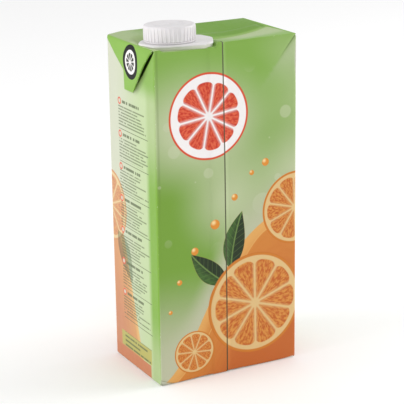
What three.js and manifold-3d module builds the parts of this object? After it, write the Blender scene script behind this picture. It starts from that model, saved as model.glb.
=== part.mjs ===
// Slim one-litre juice carton: a folded board brick, its spout base and a ribbed screw cap.
// Millimetres, +Z up. +X is the pack's right as seen from the front, +Y its back.
// The origin is the centre of the base, on the surface that the pack stands on.
import * as THREE from 'three';
import { mergeVertices } from 'three/addons/utils/BufferGeometryUtils.js';
import Module from 'manifold-3d';

const wasm = await Module();
wasm.setup();

// Brick
const BODY_WIDTH = 90;
const BODY_DEPTH = 60;
const BODY_HEIGHT = 196;
const EDGE_ROUND = 1.4;
const RIM_ROUND = 0.9;
const FRONT_SWELL = 0.8;
const SIDE_SWELL = 0.5;

// Top panel: a hollow along the seal, a droop to the left, and a flat seat under the spout base
const HOLLOW_DEPTH = 4.5;
const HOLLOW_CENTRE_X = 15;
const HOLLOW_HALF_LENGTH = 30;
const LEFT_DROOP = 1;
const DROOP_REACH = 10;
const SEAT_DROP = 2.15;
const SEAT_MARGIN = 2;
const SEAT_FADE = 6;
const TOP_REACH = 22;

// Board, seal fin and the triangular ears that the folding leaves
const BOARD = 0.45;
const FOLD_THICKNESS = 2 * BOARD;
const FIN_WIDTH = 9;
const FIN_RAISE = BOARD;
const FIN_ROOT_Y = 1.2;
const FIN_END_GAP = 1.2;
const SINK_IN = 0.8;
const EAR_DROP = 28.5;
const EAR_TIP_FRONT = -4.4;
const EAR_TIP_BACK = 6.2;
const EAR_START = 0.08;
const EAR_BEND = 0.6;
const EAR_BEND_Y = 7.4;
const EAR_TOP_GAP = 1.3;
const EAR_LIFT = 1;
const EAR_LIFT_RISE = 0.58;
const EAR_SLIT = 0.9;
const EAR_SLIT_SHARE = 0.4;
const EAR_ROOT_SHARE = 0.2;
const EAR_ROOT_REACH = 0.16;
const BASE_RELIEF = 0.2;
const BASE_EAR_DROP = BODY_DEPTH / 2;
const BASE_EAR_INSET = 1.4;

// Spout base: a six-sided plate, glued a little turned and leaning back, with a round collar
const CLOSURE_LEAN = 1.6;
const PLATE_CENTRE = new THREE.Vector2(-22.6, -13.1);
const PLATE_TURN = -8;
const PLATE_CORNERS = [
  [22.2, 2],
  [18.4, 15],
  [-16.5, 11.4],
  [-22.3, 0],
  [-16.5, -14.8],
  [16.5, -14.8],
];
const PLATE_THICKNESS = 1.65;
const PLATE_BEVEL = 0.3;
const PLATE_CORNER = 0.22;
const GLUE_GAP = 0.3;
const COLLAR_RADIUS = 13.4;
const COLLAR_HEIGHT = 0.4;

// Screw cap with a tear band under the grip
const CAP_CENTRE = new THREE.Vector2(-26.2, -12.5);
const CAP_RADIUS = 14.6;
const CAP_HEIGHT = 9;
const CAP_EDGE = 1;
const CAP_DISH = 0.25;
const CAP_DISH_RADIUS = 12.8;
const BAND_HEIGHT = 1.5;
const BAND_GROOVE = 0.35;
const RIB_COUNT = 40;
const RIB_DEPTH = 0.45;
const RIB_WIDTH = 1.2;
const CAP_SIDES = 80;
const SEATING_GAP = 0.3;

// Grid steps of the shaped pieces
const BRICK_STEPS = { x: 30, y: 24, z: 18 };
const EDGE_STEPS = { x: 3, y: 3, z: 2 };
const FIN_STEPS = 24;
const EAR_STEPS = 12;
const MERGE_DISTANCE = 1e-4;

const HALF_WIDTH = BODY_WIDTH / 2;
const HALF_DEPTH = BODY_DEPTH / 2;
const SEAT_Z = BODY_HEIGHT - SEAT_DROP;
const PLATE_BOTTOM = SEAT_Z + GLUE_GAP;
const PLATE_TOP = PLATE_BOTTOM + PLATE_THICKNESS;
const CAP_BOTTOM = PLATE_TOP + COLLAR_HEIGHT + SEATING_GAP;

const { clamp, degToRad, lerp, smoothstep } = THREE.MathUtils;

// Closed solid of a geometry, with its shared corners merged
function solidOf(geometry) {
  const bare = geometry.clone();
  bare.deleteAttribute('normal');
  bare.deleteAttribute('uv');
  const merged = mergeVertices(bare, MERGE_DISTANCE);
  return new wasm.Manifold(new wasm.Mesh({
    numProp: 3,
    vertProperties: new Float32Array(merged.attributes.position.array),
    triVerts: new Uint32Array(merged.index.array),
  }));
}

function geometryOf(solid) {
  const mesh = solid.getMesh();
  const geometry = new THREE.BufferGeometry();
  geometry.setAttribute('position', new THREE.BufferAttribute(mesh.vertProperties, 3));
  geometry.setIndex(new THREE.BufferAttribute(mesh.triVerts, 1));
  geometry.computeVertexNormals();
  return geometry;
}

// Solid box with its corners at -1 and 1, whose grid points go where place(a, b, c) says
function shapedBox(stepsA, stepsB, stepsC, place) {
  const geometry = new THREE.BoxGeometry(2, 2, 2, stepsA, stepsB, stepsC);
  const points = geometry.attributes.position;
  for (let i = 0; i < points.count; i += 1) {
    const [x, y, z] = place(points.getX(i), points.getY(i), points.getZ(i));
    points.setXYZ(i, x, y, z);
  }
  return solidOf(geometry);
}

// Spreads a grid value so that the outer share of the steps lies in the rounded edge
function gradeToEdge(value, half, edge, share) {
  const size = Math.abs(value);
  const inner = 1 - share;
  const reach = size < inner
    ? (size / inner) * (half - edge)
    : half - edge + ((size - inner) / share) * edge;
  return Math.sign(value) * reach;
}

// Corners of the plate's outline on the top panel, anticlockwise
const plateCorners = PLATE_CORNERS.map(([x, y]) => new THREE.Vector2(x, y)
  .rotateAround(new THREE.Vector2(), degToRad(PLATE_TURN))
  .add(PLATE_CENTRE));

// How far a point of the top lies outside the plate's six sides, below 0 within them
function beyondPlate(x, y) {
  const distances = plateCorners.map((corner, i) => {
    const side = plateCorners[(i + 1) % plateCorners.length].clone().sub(corner).normalize();
    return new THREE.Vector2(x, y).sub(corner).cross(side);
  });
  return Math.max(...distances);
}

// How far the top panel lies below the nominal height
function topDrop(x, y) {
  const along = clamp((x - HOLLOW_CENTRE_X) / HOLLOW_HALF_LENGTH, -1, 1);
  const across = 1 - Math.min(1, Math.abs(y) / HALF_DEPTH);
  const hollow = HOLLOW_DEPTH * (1 - along ** 2) * across;
  const droop = LEFT_DROOP * smoothstep(-x, HALF_WIDTH - DROOP_REACH, HALF_WIDTH);
  const seat = SEAT_DROP + (y - PLATE_CENTRE.y) * Math.tan(degToRad(CLOSURE_LEAN));
  const away = smoothstep(beyondPlate(x, y), SEAT_MARGIN, SEAT_MARGIN + SEAT_FADE);
  return lerp(seat, hollow + droop, away);
}

// Swelling of the filled pack at a height, 0 at both ends
function swellAt(z) {
  return Math.sin(Math.PI * clamp(z / BODY_HEIGHT, 0, 1));
}

function makeBrick() {
  const edgeShare = (axis) => 2 * EDGE_STEPS[axis] / BRICK_STEPS[axis];
  const halfHeight = (BODY_HEIGHT - BASE_RELIEF) / 2;
  const middleZ = BASE_RELIEF + halfHeight;
  const flatten = EDGE_ROUND / RIM_ROUND;

  return shapedBox(BRICK_STEPS.x, BRICK_STEPS.y, BRICK_STEPS.z, (a, b, c) => {
    const grid = new THREE.Vector3(
      gradeToEdge(a, HALF_WIDTH, EDGE_ROUND, edgeShare('x')),
      gradeToEdge(b, HALF_DEPTH, EDGE_ROUND, edgeShare('y')),
      gradeToEdge(c, halfHeight, RIM_ROUND, edgeShare('z')) * flatten,
    );
    const core = new THREE.Vector3(
      clamp(grid.x, EDGE_ROUND - HALF_WIDTH, HALF_WIDTH - EDGE_ROUND),
      clamp(grid.y, EDGE_ROUND - HALF_DEPTH, HALF_DEPTH - EDGE_ROUND),
      clamp(grid.z, EDGE_ROUND - halfHeight * flatten, halfHeight * flatten - EDGE_ROUND),
    );
    const rounded = grid.clone().sub(core).setLength(EDGE_ROUND).add(core);
    const z = rounded.z / flatten + middleZ;
    const swell = swellAt(z);
    const bowX = Math.cos(Math.PI / 2 * rounded.x / HALF_WIDTH);
    const bowY = Math.cos(Math.PI / 2 * rounded.y / HALF_DEPTH);
    const x = rounded.x * (1 + SIDE_SWELL / HALF_WIDTH * bowY * swell);
    const y = rounded.y * (1 + FRONT_SWELL / HALF_DEPTH * bowX * swell);
    const reach = smoothstep(z, BODY_HEIGHT - TOP_REACH, BODY_HEIGHT);
    return [x, y, z - topDrop(x, y) * reach];
  });
}

// Seal fin across the top, folded down to the back
function makeTopFin() {
  const halfLength = HALF_WIDTH - FIN_END_GAP;
  return shapedBox(FIN_STEPS, 2, 1, (a, b, c) => {
    const x = a * halfLength;
    const y = FIN_ROOT_Y + (b + 1) / 2 * FIN_WIDTH;
    const panelZ = BODY_HEIGHT - topDrop(x, y);
    return [x, y, c < 0 ? panelZ - SINK_IN : panelZ + FIN_RAISE];
  });
}

// Back limit of an ear at a share of its drop: upright, then a slant, then steeply down beside the fin's end
function earBack(down) {
  return down < EAR_BEND
    ? lerp(HALF_DEPTH, EAR_BEND_Y, Math.max(0, down - EAR_START) / (EAR_BEND - EAR_START))
    : lerp(EAR_BEND_Y, EAR_TIP_BACK, (down - EAR_BEND) / (1 - EAR_BEND));
}

// Ear on one side (-1 left, 1 right): a triangle that ends in the fin's end
function makeSideEar(side) {
  return shapedBox(1, EAR_STEPS, EAR_STEPS, (a, b, c) => {
    const down = (1 - c) / 2;
    const across = (b + 1) / 2;
    const front = lerp(-HALF_DEPTH, EAR_TIP_FRONT, down);
    const inset = EDGE_ROUND * (1 - down);
    const y = lerp(front + inset, earBack(down) - inset, across);
    const z = BODY_HEIGHT - EAR_TOP_GAP - topDrop(side * HALF_WIDTH, y) * (1 - down)
      - (EAR_DROP - EAR_TOP_GAP) * down;
    const wall = HALF_WIDTH + SIDE_SWELL * Math.cos(Math.PI / 2 * y / HALF_DEPTH) * swellAt(z);
    const bow = Math.sin(Math.PI * down ** EAR_LIFT_RISE);
    const freeEdge = clamp(1 - across / EAR_SLIT_SHARE, 0, 1);
    const inner = wall + lerp(-SINK_IN, EAR_SLIT, freeEdge * bow);
    const fold = FOLD_THICKNESS * Math.min(1, EAR_ROOT_SHARE + down / EAR_ROOT_REACH);
    const outer = wall + fold + EAR_LIFT * (1 - across) ** 2 * bow;
    return [side * (side * a > 0 ? outer : inner), y, z];
  });
}

// Ears folded under the base, and the seal fin that shows between the two
function makeBaseFolds() {
  const rootX = HALF_WIDTH - BASE_EAR_INSET;
  const tipX = HALF_WIDTH - BASE_EAR_DROP;
  const rootY = HALF_DEPTH - BASE_EAR_INSET;
  const depth = BASE_RELIEF + SINK_IN;
  const finOutline = new THREE.Shape([
    new THREE.Vector2(-tipX - FIN_WIDTH, -FIN_ROOT_Y),
    new THREE.Vector2(tipX + FIN_WIDTH, -FIN_ROOT_Y),
    new THREE.Vector2(tipX + FIN_WIDTH, FIN_WIDTH),
    new THREE.Vector2(-tipX - FIN_WIDTH, FIN_WIDTH),
  ]);
  let folds = solidOf(new THREE.ExtrudeGeometry(finOutline, { depth, bevelEnabled: false }));
  for (const side of [-1, 1]) {
    const earOutline = new THREE.Shape([
      new THREE.Vector2(side * rootX, -rootY),
      new THREE.Vector2(side * rootX, rootY),
      new THREE.Vector2(side * (tipX + FIN_WIDTH), FIN_WIDTH),
      new THREE.Vector2(side * tipX, FIN_WIDTH),
      new THREE.Vector2(side * tipX, -FIN_ROOT_Y),
    ]);
    const ear = new THREE.ExtrudeGeometry(earOutline, { depth, bevelEnabled: false });
    folds = folds.add(solidOf(ear));
  }
  return folds;
}

function makeCarton() {
  return geometryOf(makeBrick()
    .add(makeTopFin())
    .add(makeSideEar(-1))
    .add(makeSideEar(1))
    .add(makeBaseFolds()));
}

// Six-sided outline of the plate, its corners rounded by curves through them
function plateOutline() {
  const outline = new THREE.Shape();
  plateCorners.forEach((corner, i) => {
    const before = plateCorners.at(i - 1);
    const after = plateCorners[(i + 1) % plateCorners.length];
    const entry = corner.clone().lerp(before, PLATE_CORNER);
    const exit = corner.clone().lerp(after, PLATE_CORNER);
    if (i === 0) {
      outline.moveTo(entry.x, entry.y);
    } else {
      outline.lineTo(entry.x, entry.y);
    }
    outline.quadraticCurveTo(corner.x, corner.y, exit.x, exit.y);
  });
  outline.closePath();
  return outline;
}

// Leans a level solid of the closure back onto its seat
function leanBack(solid) {
  const hinge = [0, PLATE_CENTRE.y, PLATE_BOTTOM];
  return solid
    .translate(hinge.map((value) => -value))
    .rotate([-CLOSURE_LEAN, 0, 0])
    .translate(hinge);
}

function makeSpoutBase() {
  const plate = new THREE.ExtrudeGeometry(plateOutline(), {
    depth: PLATE_THICKNESS - 2 * PLATE_BEVEL,
    bevelThickness: PLATE_BEVEL,
    bevelSize: PLATE_BEVEL,
    bevelOffset: -PLATE_BEVEL,
    bevelSegments: 2,
    curveSegments: 6,
  });
  plate.translate(0, 0, PLATE_BOTTOM + PLATE_BEVEL);
  const overlap = PLATE_THICKNESS / 2;
  const collarLength = COLLAR_HEIGHT + overlap;
  const collar = new THREE.CylinderGeometry(COLLAR_RADIUS, COLLAR_RADIUS, collarLength, CAP_SIDES);
  collar.rotateX(Math.PI / 2);
  collar.translate(CAP_CENTRE.x, CAP_CENTRE.y, PLATE_TOP - overlap + collarLength / 2);
  return geometryOf(leanBack(solidOf(plate).add(solidOf(collar))));
}

function makeScrewCap() {
  const wallRadius = CAP_RADIUS - RIB_DEPTH;
  const grooveLow = BAND_HEIGHT;
  const grooveHigh = BAND_HEIGHT + BAND_GROOVE;
  const edgeStart = CAP_HEIGHT - CAP_EDGE;
  const profile = [
    new THREE.Vector2(0, 0),
    new THREE.Vector2(wallRadius, 0),
    new THREE.Vector2(wallRadius, grooveLow),
    new THREE.Vector2(wallRadius - BAND_GROOVE, grooveLow),
    new THREE.Vector2(wallRadius - BAND_GROOVE, grooveHigh),
    new THREE.Vector2(wallRadius, grooveHigh),
  ];
  const edgeSteps = 4;
  for (let i = 0; i <= edgeSteps; i += 1) {
    const turn = Math.PI / 2 * i / edgeSteps;
    const radius = wallRadius - CAP_EDGE * (1 - Math.cos(turn));
    profile.push(new THREE.Vector2(radius, edgeStart + CAP_EDGE * Math.sin(turn)));
  }
  profile.push(new THREE.Vector2(CAP_DISH_RADIUS, CAP_HEIGHT));
  profile.push(new THREE.Vector2(CAP_DISH_RADIUS - CAP_DISH, CAP_HEIGHT - CAP_DISH));
  profile.push(new THREE.Vector2(0, CAP_HEIGHT - CAP_DISH));
  const body = new THREE.LatheGeometry(profile, CAP_SIDES);
  body.rotateX(Math.PI / 2);

  let cap = solidOf(body);
  const ribHeight = edgeStart - grooveHigh;
  for (let i = 0; i < RIB_COUNT; i += 1) {
    const rib = new THREE.BoxGeometry(2 * RIB_DEPTH, RIB_WIDTH, ribHeight);
    rib.translate(CAP_RADIUS - RIB_DEPTH, 0, grooveHigh + ribHeight / 2);
    rib.rotateZ(2 * Math.PI * i / RIB_COUNT);
    cap = cap.add(solidOf(rib));
  }
  return geometryOf(leanBack(cap.translate([CAP_CENTRE.x, CAP_CENTRE.y, CAP_BOTTOM])));
}

function addPiece(group, name, geometry, color, roughness) {
  const material = new THREE.MeshStandardMaterial({ color, roughness, metalness: 0 });
  const mesh = new THREE.Mesh(geometry, material);
  mesh.name = name;
  group.add(mesh);
}

const juiceCarton = new THREE.Group();
juiceCarton.name = 'juice_carton';
addPiece(juiceCarton, 'carton', makeCarton(), 0x8fb854, 0.45);
addPiece(juiceCarton, 'spout_base', makeSpoutBase(), 0xeeeeec, 0.4);
addPiece(juiceCarton, 'screw_cap', makeScrewCap(), 0xf0f0ee, 0.4);

export default juiceCarton;
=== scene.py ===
# %% [markdown]
# # A juice carton: folded, capped and printed
# The real pack is one sheet of coated board, folded into a brick, with a moulded spout base and a screw
# cap. This lesson makes it in the factory's order: first the board and its folds, then the closure, then
# the print. The solids that fix every size are loaded before anything else, and nothing here moves or
# resizes them.

# %% Load the frame
import math

import bmesh
import bpy
from mathutils import Matrix, Vector


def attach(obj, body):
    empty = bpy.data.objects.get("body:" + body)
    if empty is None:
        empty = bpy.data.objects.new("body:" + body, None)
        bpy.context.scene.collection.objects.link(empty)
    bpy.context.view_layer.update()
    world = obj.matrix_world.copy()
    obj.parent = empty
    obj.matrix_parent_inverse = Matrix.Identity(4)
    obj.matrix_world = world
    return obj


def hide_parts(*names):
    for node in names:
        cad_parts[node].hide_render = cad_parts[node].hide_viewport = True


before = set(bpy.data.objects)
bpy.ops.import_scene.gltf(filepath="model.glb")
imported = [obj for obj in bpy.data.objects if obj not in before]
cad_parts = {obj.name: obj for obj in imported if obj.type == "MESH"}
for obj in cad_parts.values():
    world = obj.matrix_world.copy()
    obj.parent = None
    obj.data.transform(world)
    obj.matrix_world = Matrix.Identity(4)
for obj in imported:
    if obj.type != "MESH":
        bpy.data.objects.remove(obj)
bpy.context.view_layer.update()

MM = 0.001
print("nodes", sorted(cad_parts))

# %% [markdown]
# ## The camera
# A product photo is taken with a long lens from a little above the pack, so its upright edges stay nearly
# parallel. The camera could be aimed with a Track To constraint, but a matrix built from three angles says
# more plainly where it stands: azimuth turns it round the pack, elevation lifts it and roll tilts the
# picture.

# %% Camera
CAMERA_PLACE = Vector((-393.2, -739.5, 349.1)) * MM
AZIMUTH = math.radians(-27.941)
ELEVATION = math.radians(16.818)
ROLL = math.radians(-0.813)
FRAME_PIXELS = 404
FOCAL_PIXELS = 1497.6
SENSOR_MM = 36.0


def camera_turn(azimuth, elevation, roll):
    """Rotation whose columns are the camera's right, up and back."""
    level = Vector((math.cos(azimuth), math.sin(azimuth), 0.0))
    back = Vector((
        math.sin(azimuth) * math.cos(elevation),
        -math.cos(azimuth) * math.cos(elevation),
        math.sin(elevation),
    ))
    upright = back.cross(level)
    right = level * math.cos(roll) + upright * math.sin(roll)
    return Matrix((right, back.cross(right), back)).transposed().to_4x4()


camera_data = bpy.data.cameras.new("camera")
camera_data.sensor_width = SENSOR_MM
camera_data.lens = FOCAL_PIXELS / FRAME_PIXELS * SENSOR_MM
camera_data.dof.use_dof = False
camera = bpy.data.objects.new("camera", camera_data)
camera.matrix_world = Matrix.Translation(CAMERA_PLACE) @ camera_turn(AZIMUTH, ELEVATION, ROLL)
bpy.context.scene.collection.objects.link(camera)
bpy.context.scene.camera = camera
print("lens in mm", round(camera_data.lens, 1))

# %% [markdown]
# ## The shape of a filled pack
# A full carton is never quite a box. The drink pushes the large panels out, the top sinks along its seal,
# and the machine presses a flat seat, leaning back a little, where the spout base is glued. Each of these
# is a small function of position in millimetres, so every piece that lies on the board can ask the same
# functions where it is.

# %% Board shape
WIDTH = 90.0
DEPTH = 60.0
HEIGHT = 196.0
HALF_WIDTH = WIDTH / 2
HALF_DEPTH = DEPTH / 2
EDGE_ROUND = 1.4
RIM_ROUND = 0.9
BASE_RELIEF = 0.2
FRONT_SWELL = 0.8
SIDE_SWELL = 0.5
HOLLOW_DEPTH = 4.5
HOLLOW_CENTRE_X = 15.0
HOLLOW_HALF_LENGTH = 30.0
LEFT_DROOP = 1.0
DROOP_REACH = 10.0
SEAT_DROP = 2.15
SEAT_MARGIN = 2.0
SEAT_FADE = 6.0
SEAT_FRONT_SAG = 0.9
SAG_RANGE = (18.0, 27.0)
LEFT_END = (39.0, 43.5)
RIGHT_END = (-9.0, -3.0)
END_SEAT_MARGIN = -1.3
END_SEAT_FADE = 1.5
TOP_REACH = 22.0
CLOSURE_LEAN = math.radians(1.6)
PLATE_CENTRE = Vector((-22.6, -13.1))
PLATE_TURN = math.radians(-8.0)
PLATE_CORNERS = ((22.2, 2.0), (18.4, 15.0), (-16.5, 11.4), (-22.3, 0.0), (-16.5, -14.8), (16.5, -14.8))


def clamp(value, low, high):
    return max(low, min(high, value))


def soft_step(value, start, end):
    """0 before start, 1 after end, and a soft step between."""
    share = clamp((value - start) / (end - start), 0.0, 1.0)
    return share * share * (3.0 - 2.0 * share)


plate_turn = Matrix.Rotation(PLATE_TURN, 2)
plate_corners = [PLATE_CENTRE + plate_turn @ Vector(corner) for corner in PLATE_CORNERS]


def beyond_plate(x, y):
    """How far a point of the top lies outside the six sides of the spout base, below 0 within them."""
    distances = []
    for i, corner in enumerate(plate_corners):
        side = plate_corners[(i + 1) % len(plate_corners)] - corner
        away = Vector((x, y)) - corner
        distances.append((away.x * side.y - away.y * side.x) / side.length)
    return max(distances)


def top_drop(x, y):
    """How far the top panel lies below its nominal height."""
    along = clamp((x - HOLLOW_CENTRE_X) / HOLLOW_HALF_LENGTH, -1.0, 1.0)
    across = 1.0 - min(1.0, abs(y) / HALF_DEPTH)
    droop = LEFT_DROOP * soft_step(-x, HALF_WIDTH - DROOP_REACH, HALF_WIDTH)
    hollow = HOLLOW_DEPTH * (1.0 - along ** 2) * across + droop
    seat = SEAT_DROP + (y - PLATE_CENTRE.y) * math.tan(CLOSURE_LEAN)
    seat += SEAT_FRONT_SAG * soft_step(-y, *SAG_RANGE)
    at_end = max(soft_step(-x, *LEFT_END), soft_step(x, *RIGHT_END))
    margin = SEAT_MARGIN + (END_SEAT_MARGIN - SEAT_MARGIN) * at_end
    fade = SEAT_FADE + (END_SEAT_FADE - SEAT_FADE) * at_end
    away = soft_step(beyond_plate(x, y), margin, margin + fade)
    return seat + (hollow - seat) * away


def swell_at(z):
    """Share of the full swelling at a height: none at both ends."""
    return math.sin(math.pi * clamp(z / HEIGHT, 0.0, 1.0))


def side_wall(y, z):
    """Distance of the swollen side panel from the pack's middle plane."""
    return HALF_WIDTH + SIDE_SWELL * math.cos(math.pi / 2 * y / HALF_DEPTH) * swell_at(z)


print("seal sinks by", round(top_drop(HOLLOW_CENTRE_X, 0.0), 2), "mm")

# %% [markdown]
# ## Seam, creases and dents
# The sheet is closed into a tube by a seam: its left edge laps over its right edge, which leaves a sharp
# step and a soft hump beside it. Folding also leaves short creases at the corners.
# They could be pressed in by sculpting. Functions of position give the same relief, along the panel's
# outward direction, and still hold when the grid is made finer.

# %% Seam and creases
BOARD = 0.45
SEAM_FOOT_X = -1.5
SEAM_HEAD_X = -2.7
SEAM_LAP = 8.0
SEAM_LAP_FADE = 2.5
SEAM_STEP = 0.12
SEAM_PULL_REACH = 30.0
CREASE_REACH = Vector((11.2, 13.1))
CREASE_WIDTH = 0.8
CREASE_DEPTH = 0.7
CREASE_FADE = 0.7
FACET_DEPTH = 0.9
FACET_START = 8.0
FACET_REACH = 34.0


def seam_x(z):
    """The seam leans a little: it stands further left at the top."""
    return SEAM_FOOT_X + (SEAM_HEAD_X - SEAM_FOOT_X) * clamp(z / HEIGHT, 0.0, 1.0)


def seam_relief(x, z):
    """The lap lies flush, and the single board to both sides of it lies one thickness lower."""
    beside = x - seam_x(z)
    lap = soft_step(beside, -SEAM_LAP - SEAM_LAP_FADE, -SEAM_LAP) - soft_step(beside, -SEAM_STEP, SEAM_STEP)
    pulled_in = 1.0 - soft_step(abs(beside + SEAM_LAP / 2), SEAM_LAP, SEAM_PULL_REACH)
    return BOARD * (lap - pulled_in)


def beside_crease(from_corner):
    """How far a point lies below the crease, from its place against the panel's top right corner."""
    return (from_corner.y * CREASE_REACH.x - from_corner.x * CREASE_REACH.y) / CREASE_REACH.length


def corner_crease(along, z):
    """Valley down and inwards from a panel's top right corner, with the board below it pressed in."""
    from_corner = Vector((HALF_WIDTH - along, HEIGHT - z))
    share = clamp(from_corner.dot(CREASE_REACH) / CREASE_REACH.length_squared, 0.0, 1.0)
    miss = (from_corner - CREASE_REACH * share).length
    valley = CREASE_DEPTH * (1.0 - CREASE_FADE * share) * math.exp(-(miss / CREASE_WIDTH) ** 2)
    pressed = FACET_DEPTH * soft_step(beside_crease(from_corner), 0.0, CREASE_REACH.x)
    return -valley - pressed * (1.0 - soft_step(from_corner.y, FACET_START, FACET_REACH))


print("seam leans by", round(SEAM_FOOT_X - SEAM_HEAD_X, 1), "mm")

# %% [markdown]
# Behind each ear the wall is pressed in, a corner that has been set down hard is flattened, and a large panel
# gives a little under the hand. Where the board was struck or creased the print is painted paler, partly as
# rubbed print and partly as painted light on the tilted facets, so a value for this is worked out here from
# the same shapes.

# %% Pockets, dents and paler places
EAR_DROP = 28.5
EAR_TIP_FRONT = -4.4
POCKET_DEPTH = 2.4
POCKET_LIP = 0.9
POCKET_BACK = 10.0
POCKET_RISE = 0.55
POCKET_CLOSE = (0.45, 0.9)
DENT_LENGTH = 9.0
DENT_HEIGHT = 3.6
DENT_DEPTH = 1.5
SMALL_DENT_SHARE = 0.45
WAVE_DEPTH = 0.14
WAVES = ((13.0, 24.0), (-29.0, 17.0))
FACING = 0.7
# Limits of the paler places: rubbed print, with painted light on the tilted facets.
RUB_AND_LIGHT_FACING = 0.3
RUB_AND_LIGHT_STRENGTH = 6.0
LIT_FACET_EDGE = (-0.3, 1.5)
LIT_FACET_START = 6.0
LIT_FACET_SHARE = 0.6


def ear_slant(z):
    """Place of the ear's front edge at a height."""
    return -HALF_DEPTH + (HALF_DEPTH + EAR_TIP_FRONT) * (HEIGHT - z) / EAR_DROP


def ear_pocket(y, z):
    """The wall is pressed in behind an ear's front slant, and comes back further under the ear."""
    down = clamp((HEIGHT - z) / EAR_DROP, 0.0, 1.0)
    inside = (y - ear_slant(z)) * math.sqrt(0.5)
    hollow = soft_step(inside, -POCKET_LIP, POCKET_LIP)
    hollow *= 1.0 - soft_step(inside, POCKET_BACK / 2, POCKET_BACK)
    open_share = math.sin(math.pi * down ** POCKET_RISE) * (1.0 - soft_step(down, *POCKET_CLOSE))
    return -POCKET_DEPTH * open_share * hollow


def corner_dent(x, z, strength):
    """Flattened triangle at a bottom corner of the front or back."""
    share = (HALF_WIDTH - abs(x)) / DENT_LENGTH + z / DENT_HEIGHT
    return -strength * max(0.0, 1.0 - share)


def slow_waves(x, z):
    """Uneven give of a large panel under the hand."""
    across = math.cos(math.pi / 2 * x / HALF_WIDTH)
    return WAVE_DEPTH * across * sum(math.sin(x / wide + z / tall) for wide, tall in WAVES)


def rub_and_light_at(x, y, z, outward):
    """How far the print is painted paler, partly rubbed and partly painted light on tilted facets: on the
    struck bottom corner and below the top right crease.
    """
    if y > 0.0 or abs(outward.y) < RUB_AND_LIGHT_FACING:
        return 0.0
    struck = clamp(-corner_dent(x, z, RUB_AND_LIGHT_STRENGTH), 0.0, 1.0) if x < 0.0 else 0.0
    from_corner = Vector((HALF_WIDTH - x, HEIGHT - z))
    facet = soft_step(beside_crease(from_corner), *LIT_FACET_EDGE)
    facet *= 1.0 - soft_step(from_corner.y, LIT_FACET_START, FACET_REACH)
    return max(struck, LIT_FACET_SHARE * facet)


def panel_relief(x, y, z, outward):
    """Relief at a point of the board, along its outward direction."""
    relief = 0.0
    if y < 0.0 and outward.x ** 2 < 0.5:
        relief += seam_relief(x, z)
    if abs(outward.y) > FACING:
        struck = y < 0.0 and x < 0.0
        strength = DENT_DEPTH if struck else DENT_DEPTH * SMALL_DENT_SHARE
        relief += corner_crease(x if y < 0.0 else -x, z)
        relief += corner_dent(x, z, strength) + slow_waves(x, z) * swell_at(z)
    if abs(outward.x) > FACING:
        relief += ear_pocket(y, z)
    return relief


print("wall behind an ear pressed in by", POCKET_DEPTH, "mm")

# %% [markdown]
# ## The brick
# A cube with a Bevel modifier would be quicker, but its large faces would have no points to bend. Here a
# lattice of grid lines is laid over the box, close together in the rounded edges and at the seam. Each grid
# point is pushed onto the rounded box, swollen, and given its relief, so the shell is closed by its making.

# %% Grid lines and the lattice shell
FINE_STEP = 0.55
CORNER_STEP = 1.3
SLIT_STEP = 0.5
PANEL_STEP = 2.6
LAP_STEP = 0.8
RIM_STEP = 0.4
FOOT_STEP = 1.0
CORNER_REACH = 14.0
SLIT_BACK = 4.0
SLIT_FOOT = 166.0


def lines_through(*stops):
    """Grid lines from (place, step) pairs: each step holds up to the next place."""
    lines = []
    for (start, step), (end, _) in zip(stops, stops[1:]):
        count = max(1, round((end - start) / step))
        lines += [start + (end - start) * i / count for i in range(count)]
    return lines + [stops[-1][0]]


def lattice_shell(xs, ys, zs, place):
    """Points, quads and the panel (0 front or back, 1 side, 2 top, 3 base) of each quad of a box."""
    points = []
    quads = []
    panels = []
    known = {}

    def corner(i, j, k):
        if (i, j, k) not in known:
            known[i, j, k] = len(points)
            points.append(place(xs[i], ys[j], zs[k]))
        return known[i, j, k]

    def add(panel, *corners):
        quads.append([corner(*c) for c in corners])
        panels.append(panel)

    right = len(xs) - 1
    back = len(ys) - 1
    top = len(zs) - 1
    for i in range(right):
        for j in range(back):
            add(3, (i, j, 0), (i, j + 1, 0), (i + 1, j + 1, 0), (i + 1, j, 0))
            add(2, (i, j, top), (i + 1, j, top), (i + 1, j + 1, top), (i, j + 1, top))
        for k in range(top):
            add(0, (i, 0, k), (i + 1, 0, k), (i + 1, 0, k + 1), (i, 0, k + 1))
            add(0, (i, back, k), (i, back, k + 1), (i + 1, back, k + 1), (i + 1, back, k))
    for j in range(back):
        for k in range(top):
            add(1, (0, j, k), (0, j, k + 1), (0, j + 1, k + 1), (0, j + 1, k))
            add(1, (right, j, k), (right, j + 1, k), (right, j + 1, k + 1), (right, j, k + 1))
    return points, quads, panels


print("grid lines on 10 mm of panel", len(lines_through((0.0, PANEL_STEP), (10.0, PANEL_STEP))))

# %% [markdown]
# Rounding works by shrinking each grid point onto a smaller box and pushing it out again by the edge
# radius. On a flat panel the push is straight out; on an edge it fans round. The same direction serves for
# the relief, and how far it strays from the three axes tells how much of a fold the point lies on, which
# the print uses later.

# %% Where each point of the board goes
HALF_HEIGHT = (HEIGHT - BASE_RELIEF) / 2
MIDDLE_Z = BASE_RELIEF + HALF_HEIGHT
FLATTEN = EDGE_ROUND / RIM_ROUND
CORE_HALF = Vector((HALF_WIDTH, HALF_DEPTH, HALF_HEIGHT * FLATTEN)) - Vector((EDGE_ROUND,) * 3)
fold_of_point = []
rub_and_light_of_point = []


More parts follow.
